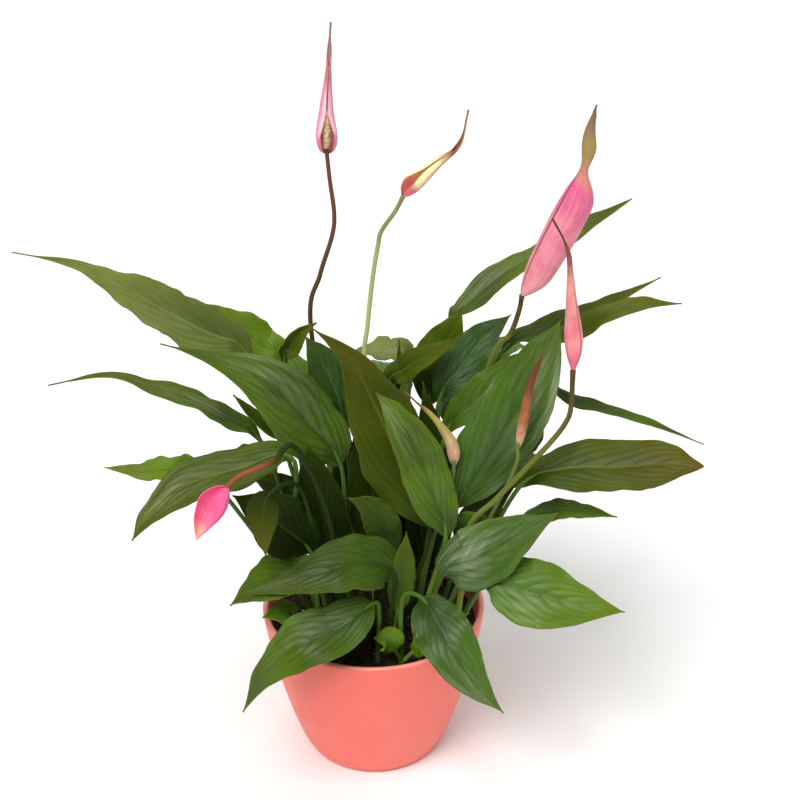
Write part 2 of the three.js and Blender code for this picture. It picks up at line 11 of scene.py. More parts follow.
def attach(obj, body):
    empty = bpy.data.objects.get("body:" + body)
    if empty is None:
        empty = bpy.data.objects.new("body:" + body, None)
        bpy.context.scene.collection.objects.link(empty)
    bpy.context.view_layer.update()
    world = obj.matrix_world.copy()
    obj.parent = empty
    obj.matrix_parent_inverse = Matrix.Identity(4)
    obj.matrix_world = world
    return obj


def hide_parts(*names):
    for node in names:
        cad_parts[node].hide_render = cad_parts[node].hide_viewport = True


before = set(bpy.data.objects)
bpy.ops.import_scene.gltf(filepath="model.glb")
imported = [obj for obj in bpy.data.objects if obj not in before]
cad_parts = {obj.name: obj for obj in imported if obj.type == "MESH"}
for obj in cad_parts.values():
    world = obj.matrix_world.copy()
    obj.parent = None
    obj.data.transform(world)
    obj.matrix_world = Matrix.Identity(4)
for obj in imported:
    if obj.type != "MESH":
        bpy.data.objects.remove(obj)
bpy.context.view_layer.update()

MM = 0.001

# Pot and soil, in millimetres
POT_RIM_RADIUS = 65.0
POT_FOOT_RADIUS = 40.0
POT_HEIGHT = 94.6
POT_WALL = 3.4
POT_FLOOR = 5.0
POT_ROUND_STEPS = 144
SOIL_LEVEL = 83.0
SOIL_MOUND = 2.0
SOIL_SPREAD = 60
SOIL_GAP = 0.3
SOIL_SINK = 1.0
SOIL_ROUND_STEPS = 160
CRUMB_SPREAD = 57
CRUMB_SINK = 0.8
HOLE_DEPTH = 9.0

# Blades: lengths and the tightest radius in millimetres, the offset in thicknesses, the rest as shares
BLADE_THICKNESS = 0.5
MOST_OFFSET = 1.4
TIGHTEST_ROLL = 0.9
ROW_STEP = 1.5
COLUMN_STEP = 1.1
LEAST_HALF = 0.35
MARGIN_WAVES = 2.5
SIDE_VEINS = 7
FINE_VEINS = 6.0
VEIN_SLANT = 0.62
VEIN_STRAIGHT = 0.45
VEIN_BEND = 0.55
VEIN_CURVE = 2.2
PLEAT_DEPTH = 0.8
MIDRIB_DEPTH = 0.6
MIDRIB_REACH = 1.7
WAIST_PINCH = 0.72
WAIST_REACH = 0.09
CLOSING_FROM = 0.18
CLOSING_REACH = 0.2
TIP_FLUSH_FROM = 0.9
SHEEN_ACROSS = 0.6
SHEEN_ALONG = 0.22

# Petioles, which run on as the blade's keel, flower stalks and hoods
PETIOLE_SIDES = 12
PETIOLE_ROWS = 44
PETIOLE_RADIUS = 1.25
PETIOLE_FLARE = 0.55
KEEL_SHARE = 0.8
KEEL_TAPER = 0.95
KEEL_GAP = 0.3
STALK_ROWS = 90
NECK_REACH = 1.1
HOOD_COLUMNS = 44
HOOD_ROW_STEP = 1.1
HOOD_CROWDING = 1.4

rng = random.Random(7)


# Colours and shaders


def ink(code):
    """A colour written as on screen, made the linear one that shaders take."""
    shares = [int(code[i:i + 2], 16) / 255 for i in (1, 3, 5)]
    return tuple(s / 12.92 if s <= 0.04045 else ((s + 0.055) / 1.055) ** 2.4 for s in shares) + (1.0,)


class Finish:
    """A material with one Principled shader, and short ways to add nodes in front of it."""

    def __init__(self, name, **constants):
        self.material = bpy.data.materials.new(name)
        self.material.use_nodes = True
        self.tree = self.material.node_tree
        self.shader = self.tree.nodes["Principled BSDF"]
        for socket, value in constants.items():
            self.shader.inputs[socket.replace("_", " ").title().replace("Ior", "IOR")].default_value = value

    def feed(self, node, socket, value):
        if isinstance(value, bpy.types.NodeSocket):
            self.tree.links.new(value, node.inputs[socket])
        else:
            node.inputs[socket].default_value = value

    def node(self, kind, inputs=(), **settings):
        """A new node with its settings, fed by pairs of a socket and its value."""
        node = self.tree.nodes.new(kind)
        for name, setting in settings.items():
            setattr(node, name, setting)
        for socket, value in inputs:
            self.feed(node, socket, value)
        return node

    def math(self, operation, *values):
        return self.node("ShaderNodeMath", enumerate(values), operation=operation).outputs[0]

    def times(self, first, second):
        return self.math("MULTIPLY", first, second)

    def scaled(self, value, factor, offset):
        return self.math("MULTIPLY_ADD", value, factor, offset)

    def mix(self, share, first, second):
        inputs = ((0, share), (6, first), (7, second))
        return self.node("ShaderNodeMix", inputs, data_type="RGBA").outputs[2]

    def step(self, value, low, high, start=0.0, end=1.0):
        """Turns smoothly from start to end as a value goes from low to high."""
        inputs = enumerate((value, low, high, start, end))
        return self.node("ShaderNodeMapRange", inputs, interpolation_type="SMOOTHSTEP").outputs[0]

    def place(self):
        """The piece's own places in metres."""
        return self.node("ShaderNodeTexCoord").outputs["Object"]

    def noise(self, scale, detail=3.0, stretch=None, uv=None):
        """Cloudy noise on the piece's own places in metres, or on its UV map stretched by three numbers."""
        source = uv or self.place()
        if stretch:
            source = self.node("ShaderNodeMapping", (("Vector", source), ("Scale", stretch))).outputs[0]
        inputs = (("Vector", source), ("Scale", scale), ("Detail", detail))
        return self.node("ShaderNodeTexNoise", inputs).outputs[0]

    def split(self, source, kind="ShaderNodeSeparateXYZ"):
        return tuple(self.node(kind, ((0, source),)).outputs)[:3]

    def grain(self):
        """The piece's own UV map, whole and as its two numbers: across and along."""
        uv = self.node("ShaderNodeUVMap", uv_map="grain").outputs[0]
        across, along, _ = self.split(uv)
        return uv, across, along

    def from_middle(self, across):
        """How far a place lies from the middle line: 0 on it and 1 at either margin."""
        return self.math("ABSOLUTE", self.scaled(across, 2.0, -1.0))

    def height(self):
        """How high a place of the piece lies, in metres."""
        return self.split(self.place())[2]

    def tone(self):
        """The three numbers stored on the piece's points: flush, the share of painted sheen and the share of
        painted shade.
        """
        node = self.node("ShaderNodeAttribute", attribute_name="tone")
        return self.split(node.outputs["Color"], "ShaderNodeSeparateColor")

    def ramp(self, value, stops):
        """Colours one after another along a value, each blending in between its two places."""
        colour = ink(stops[0][0])
        for code, start, end in stops[1:]:
            colour = self.mix(self.step(value, start, end), colour, ink(code))
        return colour

    def bump(self, height, strength, distance=0.0004):
        inputs = (("Height", height), ("Strength", strength), ("Distance", distance))
        self.feed(self.shader, "Normal", self.node("ShaderNodeBump", inputs).outputs[0])

    def colour(self, value):
        self.feed(self.shader, "Base Color", value)

    def rough(self, value):
        self.feed(self.shader, "Roughness", value)


def leaf_finish(name, deep, light, vein, rib, flush, silver, rough, gloss, under=False):
    """Waxy leaf skin: side veins that lean to the tip and a midrib, sunken above and raised below, with a
    painted sheen and painted shade.
    """
    finish = Finish(name, specular_ior_level=gloss)
    uv, across, along = finish.grain()
    flushed, silvered, shade = finish.tone()

    # Where the veins run: the side veins, the fine ones between them and the midrib
    side = finish.from_middle(across)
    bend = finish.times(finish.math("POWER", side, VEIN_CURVE), VEIN_BEND)
    reach = finish.times(finish.scaled(side, VEIN_STRAIGHT, bend), VEIN_SLANT)
    place = finish.math("ADD", finish.math("SUBTRACT", along, reach), 1.0)
    main = finish.math("PINGPONG", finish.times(place, float(SIDE_VEINS)), 0.5)
    fine = finish.math("PINGPONG", finish.times(place, SIDE_VEINS * FINE_VEINS), 0.5)
    main_line = finish.step(main, 0.0, 0.16, 1.0, 0.0)
    fine_line = finish.step(fine, 0.0, 0.35, 1.0, 0.0)
    crown = finish.step(main, 0.2, 0.5)
    midrib = finish.step(side, 0.01, 0.08, 1.0, 0.0)

    # The green, lighter towards the tip and the margin and in clouds, with the veins drawn in it
    cloud = finish.noise(28.0, 4.0)
    patch = finish.noise(9.0, 2.0)
    lit = finish.scaled(finish.step(along, 0.0, 0.8), 0.35, finish.step(side, 0.0, 0.9, -0.15, 0.1))
    lit = finish.math("ADD", lit, finish.step(cloud, 0.3, 0.72, 0.0, 0.6))
    skin = finish.mix(lit, ink(deep), ink(light))
    # Painted shade, partly each leaf's own depth of green: the green deepens by the shade number, most on the
    # leaves inside the plant
    skin = finish.mix(finish.times(shade, 0.6), skin, ink(deep))
    # The side veins drawn in the deep green on the upper side: partly painted shade in their sunken creases
    drawn = finish.times(main_line, finish.step(patch, 0.35, 0.6, 0.25, 0.5))
    skin = finish.mix(drawn, skin, ink(vein if under else deep))
    skin = finish.mix(finish.times(fine_line, 0.05), skin, ink(vein))

    # The painted sheen, a painted highlight broken into streaks and strongest on the pleat crowns, then the
    # flush, the midrib and the dry edge
    streak = finish.noise(1.0, 3.0, (9.0, 2.5, 1.0), uv)
    spread = finish.times(silvered, finish.step(patch, 0.3, 0.6, 0.4, 1.0))
    spread = finish.times(spread, finish.scaled(crown, 0.3, 0.7))
    spread = finish.times(spread, finish.step(streak, 0.38, 0.62, 0.15, 1.0))
    skin = finish.mix(spread, skin, ink(silver))
    skin = finish.mix(finish.times(flushed, finish.step(cloud, 0.1, 0.6, 0.65, 1.0)), skin, ink(flush))
    # The midrib, fading towards the tip: on the bright, mid and silver skins its dark green is painted shade
    # in the groove
    ribbed = finish.times(midrib, finish.step(along, 0.0, 0.9, 0.4, 0.1))
    skin = finish.mix(ribbed, skin, ink(rib))
    edge = finish.times(finish.step(side, 0.94, 1.0), 0.3)
    finish.colour(finish.mix(edge, skin, ink(flush)))

    waxy = finish.step(finish.noise(60.0, 3.0), 0.3, 0.75, rough - 0.08, rough + 0.06)
    finish.rough(finish.scaled(main_line, 0.08, waxy))
    relief = finish.math("ADD", finish.times(main_line, 0.6 if under else -0.4),
                         finish.times(fine_line, 0.3 if under else -0.28))
    finish.bump(finish.scaled(finish.noise(300.0, 2.0), 0.35, relief), 0.55)
    return finish.material


def stem_finish(name, low, high, streak, turn=(0.15, 0.95)):
    """A stalk that turns from one colour to another along its length, with fine lengthwise streaks and
    painted shade.
    """
    finish = Finish(name, specular_ior_level=0.07)
    uv, _, along = finish.grain()
    _, _, shade = finish.tone()
    body = finish.mix(finish.step(along, *turn), ink(low), ink(high))
    lines = finish.noise(9.0, 3.0, (5.0, 0.6, 1.0), uv)
    body = finish.mix(finish.step(lines, 0.45, 0.75, 0.0, 0.6), body, ink(streak))
    # Painted shade: dark green by the shade number, for the petioles inside the plant
    finish.colour(finish.mix(finish.step(shade, 0.3, 1.0, 0.0, 0.85), body, ink("#142a04")))
    finish.rough(finish.step(lines, 0.2, 0.8, 0.37, 0.55))
    finish.bump(lines, 0.25)
    return finish.material


def spathe_finish(name, stops, blush, pale, edge, heart=None, ribs=(), seam=None):
    """Petal skin of a spathe: colours along it, mottling, streaks and an edge, and a heart, seam or ribs."""
    finish = Finish(name, specular_ior_level=0.2, subsurface_weight=0.3, subsurface_scale=0.002)
    uv, across, along = finish.grain()
    side = finish.from_middle(across)
    streaks = finish.noise(7.0, 4.0, (6.0, 0.7, 1.0), uv)
    mottle = finish.noise(110.0, 4.0)
    place = finish.math("ADD", along, finish.step(mottle, 0.2, 0.8, -0.04, 0.04))
    skin = finish.ramp(place, stops)
    fresh = finish.step(along, 0.6, 0.75, 1.0, 0.3)
    skin = finish.mix(finish.times(finish.step(mottle, 0.42, 0.7, 0.0, 0.7), fresh), skin, ink(blush))
    skin = finish.mix(finish.times(finish.step(streaks, 0.45, 0.75, 0.0, 0.45), fresh), skin, ink(pale))
    if heart:
        skin = finish.mix(finish.times(finish.step(side, 0.15, 0.6, 0.9, 0.0), fresh), skin, ink(heart))
    if seam:
        strip = finish.times(finish.step(side, *seam[1:]), finish.step(along, 0.24, 0.36))
        strip = finish.times(strip, finish.step(along, 0.6, 0.7, 1.0, 0.0))
        skin = finish.mix(strip, skin, ink(seam[0]))
    for rib in ribs:
        away = finish.math("ABSOLUTE", finish.math("SUBTRACT", across, rib))
        skin = finish.mix(finish.step(away, 0.008, 0.025, 0.85, 0.0), skin, ink(edge))
    finish.colour(finish.mix(finish.step(side, 0.94, 0.99, 0.0, 0.9), skin, ink(edge)))
    finish.rough(finish.step(streaks, 0.2, 0.8, 0.45, 0.62))
    finish.bump(finish.scaled(mottle, 0.8, streaks), 0.4)
    return finish.material


def pot_finish():
    """Moulded coral plastic, satin, with the faintest cloud and pitting and a painted highlight round the
    lip.
    """
    finish = Finish("coral_moulded_plastic", specular_ior_level=0.3)
    cloud = finish.noise(14.0, 2.0)
    body = finish.mix(finish.step(cloud, 0.3, 0.7), ink("#f37264"), ink("#f67a6c"))
    # Painted highlight: a paler band round the top of the lip
    finish.colour(finish.mix(finish.step(finish.height(), 0.0935, 0.0943), body, ink("#f79a88")))
    finish.rough(finish.step(finish.noise(90.0, 2.0), 0.3, 0.7, 0.4, 0.5))
    finish.bump(finish.noise(1500.0, 1.0), 0.12, 0.00015)
    return finish.material


def pitted_finish(name, dark, light, scale, detail, most, rough, relief, gloss=0.3):
    """A dull, pitted stuff such as peat, perlite or florets: dark in its pits as painted shade, and light on
    its crumbs.
    """
    finish = Finish(name, specular_ior_level=gloss)
    pits = finish.noise(scale, detail)
    # Painted shade: the colour darkens where the pits sink
    finish.colour(finish.mix(finish.step(pits, 0.35, most), ink(dark), ink(light)))
    finish.rough(finish.step(pits, 0.2, 0.8, *rough))
    finish.bump(pits, *relief)
    return finish.material


def peat_finish(name, dark, light):
    return pitted_finish(name, dark, light, 420.0, 5.0, 0.7, (0.75, 1.0), (0.9, 0.001), gloss=0.25)


# The upper skin's colours: deep, light, vein, midrib, flush and painted sheen, a painted highlight; then its
# roughness and gloss
LEAF_SKINS = {
    "grey_leaf": ("#4c5c1e", "#82963c", "#98a458", "#98a458", "#725a34", "#a6ac80", 0.44, 0.26),
    "bright_leaf": ("#365a00", "#78a00a", "#9cb644", "#2c5200", "#7c7a22", "#a4bc84", 0.34, 0.22),
    "mid_leaf": ("#1f3800", "#587f04", "#7c9232", "#1c3200", "#6a6014", "#9cac80", 0.3, 0.2),
    "olive_leaf": ("#223800", "#526e00", "#80882a", "#80882a", "#6e4e12", "#959b66", 0.36, 0.16),
    "blue_leaf": ("#16320a", "#426c20", "#6a8e40", "#6a8e40", "#525820", "#86a27e", 0.32, 0.26),
    "silver_leaf": ("#1e3a02", "#50800e", "#7aa040", "#1a3400", "#686e20", "#b2bc9c", 0.26, 0.28),
    # dark_leaf: near-black greens, painted shade for the leaves deep inside the plant
    "dark_leaf": ("#081800", "#1f4402", "#3c6014", "#3c6014", "#5c6018", "#58703c", 0.4, 0.06),
}
UNDERSIDE_DULLNESS = 0.15
UNDERSIDE_GLOSS = 0.12

skins = {}
undersides = {}
for slot, (deep, light, vein, rib, flush, silver, rough, gloss) in LEAF_SKINS.items():
    skins[slot] = leaf_finish(f"{slot}_skin", deep, light, vein, rib, flush, silver, rough, gloss)
    undersides[slot] = leaf_finish(f"{slot}_underside", light, vein, light, light, flush, silver,
                                   rough + UNDERSIDE_DULLNESS, UNDERSIDE_GLOSS, under=True)
petiole_skin = stem_finish("petiole_skin", "#55742a", "#40621c", "#7f9a48")
stem_skins = {
    "brown_stem": stem_finish("brown_stem_skin", "#4a4020", "#68432f", "#85604a", (0.3, 0.8)),
    "pale_stem": stem_finish("pale_stem_skin", "#c8d38a", "#7d7a48", "#dde3ae"),
    "olive_stem": stem_finish("olive_stem_skin", "#6b7a30", "#4e3d20", "#87893f", (0.3, 0.95)),
    "hanging_stem": stem_finish("hanging_stem_skin", "#1c3408", "#96503c", "#4c4e20", (0.5, 0.72)),
    "withered_flower": stem_finish("withered_stem_skin", "#3f5c20", "#6f7a3c", "#8c8c54"),
}


# Surfaces and paths, which follow the same rules as the solids of the frame


def curve_through(points):
    """A smooth curve that meets its points at even steps of its place, which runs from 0 to 1."""
    stops = [Vector(point) for point in points]
    legs = len(stops) - 1

    def at(place):
        step = min(max(place, 0.0), 1.0) * legs
        leg = min(int(step), legs - 1)
        s = step - leg
        b, c = stops[leg], stops[leg + 1]
        a = stops[leg - 1] if leg else 2 * b - c
        d = stops[leg + 2] if leg + 2 <= legs else 2 * c - b
        leaving, arriving = (c - a) / 2, (d - b) / 2
        square = 3 * (c - b) - 2 * leaving - arriving
        cube = 2 * (b - c) + leaving + arriving
        return b + leaving * s + square * s * s + cube * s ** 3

    return at


def stretch(curve, start, end, count=14):
    """The part of a curve between two of its places, as a curve of its own."""
    return curve_through([curve(start + (end - start) * i / count) for i in range(count + 1)])


def heading(curve, place):
    """The way a curve runs at a place, one millimetre long."""
    return (curve(min(1.0, place + 0.0001)) - curve(max(0.0, place - 0.0001))).normalized()


def length_of(curve, parts=40):
    return sum((curve((i + 1) / parts) - curve(i / parts)).length for i in range(parts))


def growth(foot, rise, later):
    """Out of the soil, over the knee and through the later points, and the place of the first of those."""
    start = Vector((foot[0], foot[1], SOIL_LEVEL - HOLE_DEPTH))
    first = Vector(later[0])
    knee = Vector(rise) if rise else start.lerp(first, 0.45)
    if not rise:
        knee.z = start.z * 0.45 + first.z * 0.55
    collar = Vector((start.x, start.y, SOIL_LEVEL + 4)).lerp(knee, 0.06)
    points = [start, collar, knee] + [Vector(point) for point in later]
    return curve_through(points), 3 / (len(points) - 1)


def outline(v, foot, tip):
    """The half width along a blade, as a share: a larger foot or tip makes that end more slender."""
    widest = foot / (foot + tip)
    return (v ** foot * max(0.0, 1 - v) ** tip) / (widest ** foot * (1 - widest) ** tip)


def vein_place(u, v):
    """Where on the midrib a place's side vein starts: the veins lean and bend towards the tip."""
    side = abs(u)
    return v - VEIN_SLANT * (VEIN_STRAIGHT * side + VEIN_BEND * side ** VEIN_CURVE)


def fullness(half, full=8):
    """1 where the half width of a blade is full, and less where the blade is slender."""
    return min(1.0, half / full)


def blade_surface(spine, width, face, twist=0.0, waist=None, blunt=0.75, sharp=1.3, curl=0.01, fold=0.0,
                  wave=0.0, closing=0.0, relief=None, margin=None):
    """The blade as a rule: a point for each place across, from -1 to 1, and along, from 0 to 1."""
    rows = {}

    def row(v):
        if v not in rows:
            tangent = heading(spine, v)
            lift_way = Vector(face) - tangent * Vector(face).dot(tangent)
            lift_way.normalize()
            lift_way = Matrix.Rotation(twist * v, 3, tangent) @ lift_way
            pinch = 1 - WAIST_PINCH * math.exp(-((v - waist) / WAIST_REACH) ** 2) if waist else 1.0
            half = max(LEAST_HALF, width / 2 * pinch * outline(v, blunt, sharp))
            roll = curl + closing * min(1.0, max(0.0, v - CLOSING_FROM) / CLOSING_REACH)
            rows[v] = spine(v), tangent.cross(lift_way), lift_way, half, min(roll, half / TIGHTEST_ROLL)
        return rows[v]

    def at(u, v):
        place, side, lift_way, half, roll = row(v)
        lift = half * (1 - math.cos(roll * u)) / roll
        lift += half * fold * (abs(u) - 0.45 * u * u)
        ripple = math.sin(math.pi * 2 * MARGIN_WAVES * v + (0 if u > 0 else 2))
        lift += wave * u * u * ripple * fullness(half)
        if relief:
            lift += relief(u, v, half)
        across = half * math.sin(roll * u) / roll
        if margin:
            across *= margin(u, v)
        return place + side * across + lift_way * lift

    return at


def leaf_relief(length, seed, crinkle):
    """Pleats between the sunken side veins, a grooved midrib and a little unevenness, in millimetres."""

    def at(u, v, half):
        side = abs(u)
        pleat = (0.5 - 0.5 * math.cos(math.pi * 2 * SIDE_VEINS * vein_place(u, v))) ** 0.7
        inside = max(0.0, 4 * side * (1.0 - side)) ** 0.8
        lift = PLEAT_DEPTH * fullness(half, 13) * (pleat - 0.5) * inside
        lift -= MIDRIB_DEPTH * fullness(half, 6) * math.exp(-((u * half / MIDRIB_REACH) ** 2)) * (1 - v)
        lift += 0.9 * side * noise.noise(Vector((v * 5, u, seed))) * fullness(half)  # broad swells
        lift += 0.5 * side ** 5 * math.sin(v * 40 + seed * 3) * fullness(half)  # a frill at the margin
        lift += crinkle * noise.noise(Vector((u * half * 0.35, v * length * 0.35, seed + 9)))
        return lift

    return at


def ruffled(length, seed, ruffle):
    """Lets the margin run in and out a little along the blade, each side its own way."""

    def at(u, v):
        place = Vector((v * length / 11, 4.0 if u > 0 else -4.0, seed))
        return 1 + ruffle * abs(u) ** 3 * (noise.noise(place) * 1.6 + 0.5 * noise.noise(place * 2.7))

    return at


# Mesh making


def new_mesh():
    """An empty mesh with a UV map, tones for its points, and each point's seat: its number in its blade."""
    bm = bmesh.new()
    bm.loops.layers.uv.new("grain")
    bm.verts.layers.float_color.new("tone")
    bm.verts.layers.int.new("seat")
    return bm


def add_grid(bm, columns, rows, index):
    """A flat grid from -1 to 1 with its UV map, as the start of a blade or a tube."""
    before = set(bm.faces)
    made = bmesh.ops.create_grid(bm, x_segments=columns, y_segments=rows, size=1)
    faces = [face for face in bm.faces if face not in before]
    layer = bm.loops.layers.uv["grain"]
    for face in faces:
        face.smooth = True
        face.material_index = index
        for loop in face.loops:
            loop[layer].uv = (loop.vert.co.x + 1) / 2, (loop.vert.co.y + 1) / 2
    return made["verts"], faces


def add_blade(bm, surface, columns, rows, tone, crowding=1.0, skin=0, underside=1):
    """A thin closed blade: its upper face follows the surface, and its lower face gets the underside."""
    verts, faces = add_grid(bm, columns, rows, skin)
    layer = bm.verts.layers.float_color["tone"]
    seat = bm.verts.layers.int["seat"]
    for number, vert in enumerate(verts):
        u, v = vert.co.x, round(((vert.co.y + 1) / 2) ** crowding, 6)
        vert[layer] = tone(u, v)
        vert[seat] = number
        vert.co = surface(u, v)
    for face in faces:
        face.normal_update()
    old = set(bm.faces)
    bmesh.ops.solidify(bm, geom=faces, thickness=BLADE_THICKNESS)
    added = [face for face in bm.faces if face not in old]
    for face in added:
        face.smooth = True
        face.material_index = underside
    # Solidify pushes a point of a sharp margin too far out: it is drawn back to the point that it came from
    for vert in {vert for face in added for vert in face.verts} - set(verts):
        home = verts[vert[seat]].co
        if (vert.co - home).length > MOST_OFFSET * BLADE_THICKNESS:
            vert.co = home + (vert.co - home).normalized() * BLADE_THICKNESS
    for vert in verts:
        vert.normal_update()


def add_tube(bm, path, radius, rows, index, shade=0.0):
    """A round limb along a path from 0 to 1, closed at both ends, with a radius for each place."""
    verts, faces = add_grid(bm, PETIOLE_SIDES, rows, index)
    layer = bm.verts.layers.float_color["tone"]
    across = None
    rings = {}
    for i in range(rows + 1):
        place = i / rows
        ahead = (path(min(1.0, place + 0.01)) - path(max(0.0, place - 0.01))).normalized()
        across = across or ahead.orthogonal()
        across = (across - ahead * across.dot(ahead)).normalized()
        rings[i] = path(place), across.copy(), ahead.cross(across), radius(place)
    for vert in verts:
        turn = (vert.co.x + 1) * math.pi
        centre, one, other, reach = rings[round((vert.co.y + 1) / 2 * rows)]
        vert[layer] = (0.0, 0.0, shade, 1.0)
        vert.co = centre + one * (math.cos(turn) * reach) + other * (math.sin(turn) * reach)
    bmesh.ops.remove_doubles(bm, verts=verts, dist=0.0005)
    rim = {edge for face in faces if face.is_valid for edge in face.edges if edge.is_boundary}
    filled = bmesh.ops.holes_fill(bm, edges=list(rim), sides=0)["faces"]
    for face in filled:
        face.material_index = index


def finish_piece(name, bm, materials, nodes):
    """Makes the mesh metres, links it as one piece on the frame and hides the frame's parts that it stands
    for.
    """
    bmesh.ops.scale(bm, vec=(MM, MM, MM), verts=bm.verts)
    mesh = bpy.data.meshes.new(name)
    bm.to_mesh(mesh)
    bm.free()
    for material in materials:
        mesh.materials.append(material)
    piece = bpy.data.objects.new(name, mesh)
    bpy.context.scene.collection.objects.link(piece)
    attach(piece, "root")
    if nodes:
        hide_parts(*nodes)


# Leaves


def add_leaf(bm, foot, blade, width, face, rise=None, flush=0.25, silver=0.0, shade=0.3, crinkle=0.0,
             ruffle=0.05, sheen=(0.3, 0.7), fold=0.2, **form):
    """A leaf in the mesh: its petiole, which runs on as the keel under the blade, and the blade itself."""
    curve, first = growth(foot, rise, blade)
    spine = stretch(curve, first, 1.0)
    length = length_of(spine)
    seed = rng.uniform(0, 50)
    surface = blade_surface(spine, width, face, fold=fold, relief=leaf_relief(length, seed, crinkle),
                            margin=ruffled(length, seed, ruffle), **form)
    columns = 2 * max(5, round(width / 2 / COLUMN_STEP))
    rows = max(16, round(length / ROW_STEP))

    def tone(u, v):
        flushed = flush * (0.08 + 0.92 * v ** 1.6) + 3.6 * max(0.0, v - TIP_FLUSH_FROM)
        # Painted highlight: the sheen share is greatest round the sheen place on the blade
        around = math.exp(-((u - sheen[0]) / SHEEN_ACROSS) ** 2 - ((v - sheen[1]) / SHEEN_ALONG) ** 2)
        return min(1.0, flushed), silver * (0.12 + 0.88 * around), shade, 1.0

    add_blade(bm, surface, columns, rows, tone)
    bare = blade_surface(spine, width, face, fold=fold, **form)
    share = 1 / (1 + KEEL_SHARE * length / max(1.0, length_of(stretch(curve, 0.0, first))))

    def path(place):
        if place < share:
            return curve(first * place / share)
        v = (place - share) / (1 - share) * KEEL_SHARE
        down = heading(spine, v).cross(bare(0.3, v) - bare(-0.3, v)).normalized()
        return spine(v) + down * min(1.0, v * 9) * (radius(place) + KEEL_GAP + MIDRIB_DEPTH * (1 - v))

    def radius(place):
        if place < share:
            return PETIOLE_RADIUS + PETIOLE_FLARE * (1 - place / share) ** 2
        return PETIOLE_RADIUS - KEEL_TAPER * (place - share) / (1 - share)

    add_tube(bm, path, radius, PETIOLE_ROWS, 2, shade=shade)


def leaf(name, slot, foot, sharing=(), **form):
    """One piece of foliage: a leaf, and any others that rise from the same foot and share its node."""
    bm = new_mesh()
    add_leaf(bm, foot, **form)
    for other in sharing:
        add_leaf(bm, foot, **other)
    finish_piece(f"fine_{name}", bm, [skins[slot], undersides[slot], petiole_skin], [name])


leaf("leaf_left_long", "grey_leaf", (-26, 6), width=28, face=(0.2, -0.75, 0.65), wave=2, sharp=1.9,
     ruffle=0.09, silver=0.3, sheen=(-0.5, 0.4),
     blade=((-65, 12, 245), (-87, 4, 264), (-107, -4, 280), (-126, -10, 295), (-148, -14, 309),
            (-178, -20, 318)))
leaf("leaf_left_bright", "bright_leaf", (-24, 28), width=26, face=(0.3, -0.4, 0.8), fold=0.3, wave=1,
     flush=0.5, blade=((-49, 34, 231), (-62, 34, 244), (-78, 34, 258), (-93, 32, 270)))
leaf("leaf_left_broad", "mid_leaf", (-14, -10), width=38, face=(0.3, -0.8, 0.5), wave=2, sharp=1.9,
     silver=0.6, sheen=(0.5, 0.6),
     blade=((-17, -8, 190), (-33, -12, 216), (-52, -22, 245), (-76, -32, 264), (-104, -40, 277)))
leaf("leaf_left_slim", "mid_leaf", (-32, -8), width=16, face=(0.1, -0.3, 0.95), wave=1, sharp=1.6,
     flush=0.6, silver=0.6, sheen=(0, 0.45),
     blade=((-58, -18, 209), (-75, -22, 226), (-91, -26, 238), (-110, -32, 249), (-132, -38, 259),
            (-161, -46, 257)),
     sharing=[dict(width=9, face=(0.3, -0.8, 0.5), fold=0, curl=1, rise=(-36, -11, 150),
                   blade=((-40, -14, 205), (-53, -16, 216), (-64, -18, 228), (-72, -20, 239))),
              dict(width=26, face=(0.2, -0.9, 0.3), shade=1.0,
                   blade=((-30, -12, 132), (-41, -13, 163), (-52, -15, 180), (-66, -17, 188)))])
leaf("leaf_left_small", "bright_leaf", (-38, 2), width=18, face=(0, -0.3, 0.95), wave=1, flush=0.6,
     blade=((-95, -4, 185), (-113, -2, 184), (-130, 0, 182), (-150, 2, 183)))
leaf("leaf_left_drooping", "olive_leaf", (-28, -14), width=27, face=(-0.2, -0.5, 0.8), fold=0.15,
     wave=1.5, flush=0.25, silver=0.9, rise=(-42, -24, 150),
     blade=((-41, -34, 209), (-69, -40, 206), (-95, -46, 200), (-114, -54, 187), (-124, -60, 174)))
leaf("leaf_back_left_blue", "blue_leaf", (-8, 4), width=28, face=(0.3, -0.9, 0.3), wave=1,
     blade=((-15, 8, 202), (-19, 8, 225), (-27, 10, 244), (-36, 12, 259)),
     sharing=[dict(width=26, face=(0.1, -0.9, 0.3), shade=1.0,
                   blade=((-10, 6, 112), (-13, 9, 145), (-14, 10, 178), (-15, 10, 205)))])
leaf("leaf_middle_long", "olive_leaf", (16, -24), width=42, face=(0.2, -0.9, 0.3), wave=1.5, sharp=1.8,
     flush=0.35, shade=1.0,
     blade=((32, -24, 160), (17, -16, 194), (3, -8, 224), (-11, 0, 250), (-34, 8, 267)))
leaf("leaf_middle_bright", "mid_leaf", (24, -32), width=26, face=(0.3, -0.9, 0.2), wave=1, silver=0.7,
     sheen=(-0.4, 0.85),
     blade=((40, -44, 166), (34, -42, 188), (25, -38, 213), (13, -34, 234), (3, -30, 245)))
leaf("leaf_back_rolled", "olive_leaf", (-22, 18), width=12, face=(0.3, -0.8, 0.3), fold=0, curl=0.9,
     shade=0.0, blade=((-48, 20, 237), (-45, 20, 248), (-39, 20, 257), (-30, 20, 263)))
leaf("leaf_back_grey", "grey_leaf", (14, 32), width=18, face=(0, -0.4, 0.9), wave=1.5, flush=0.5,
     silver=1.0, sheen=(0, 0.5), shade=0.0,
     blade=((21, 44, 230), (11, 42, 237), (0, 40, 238), (-12, 38, 238)))
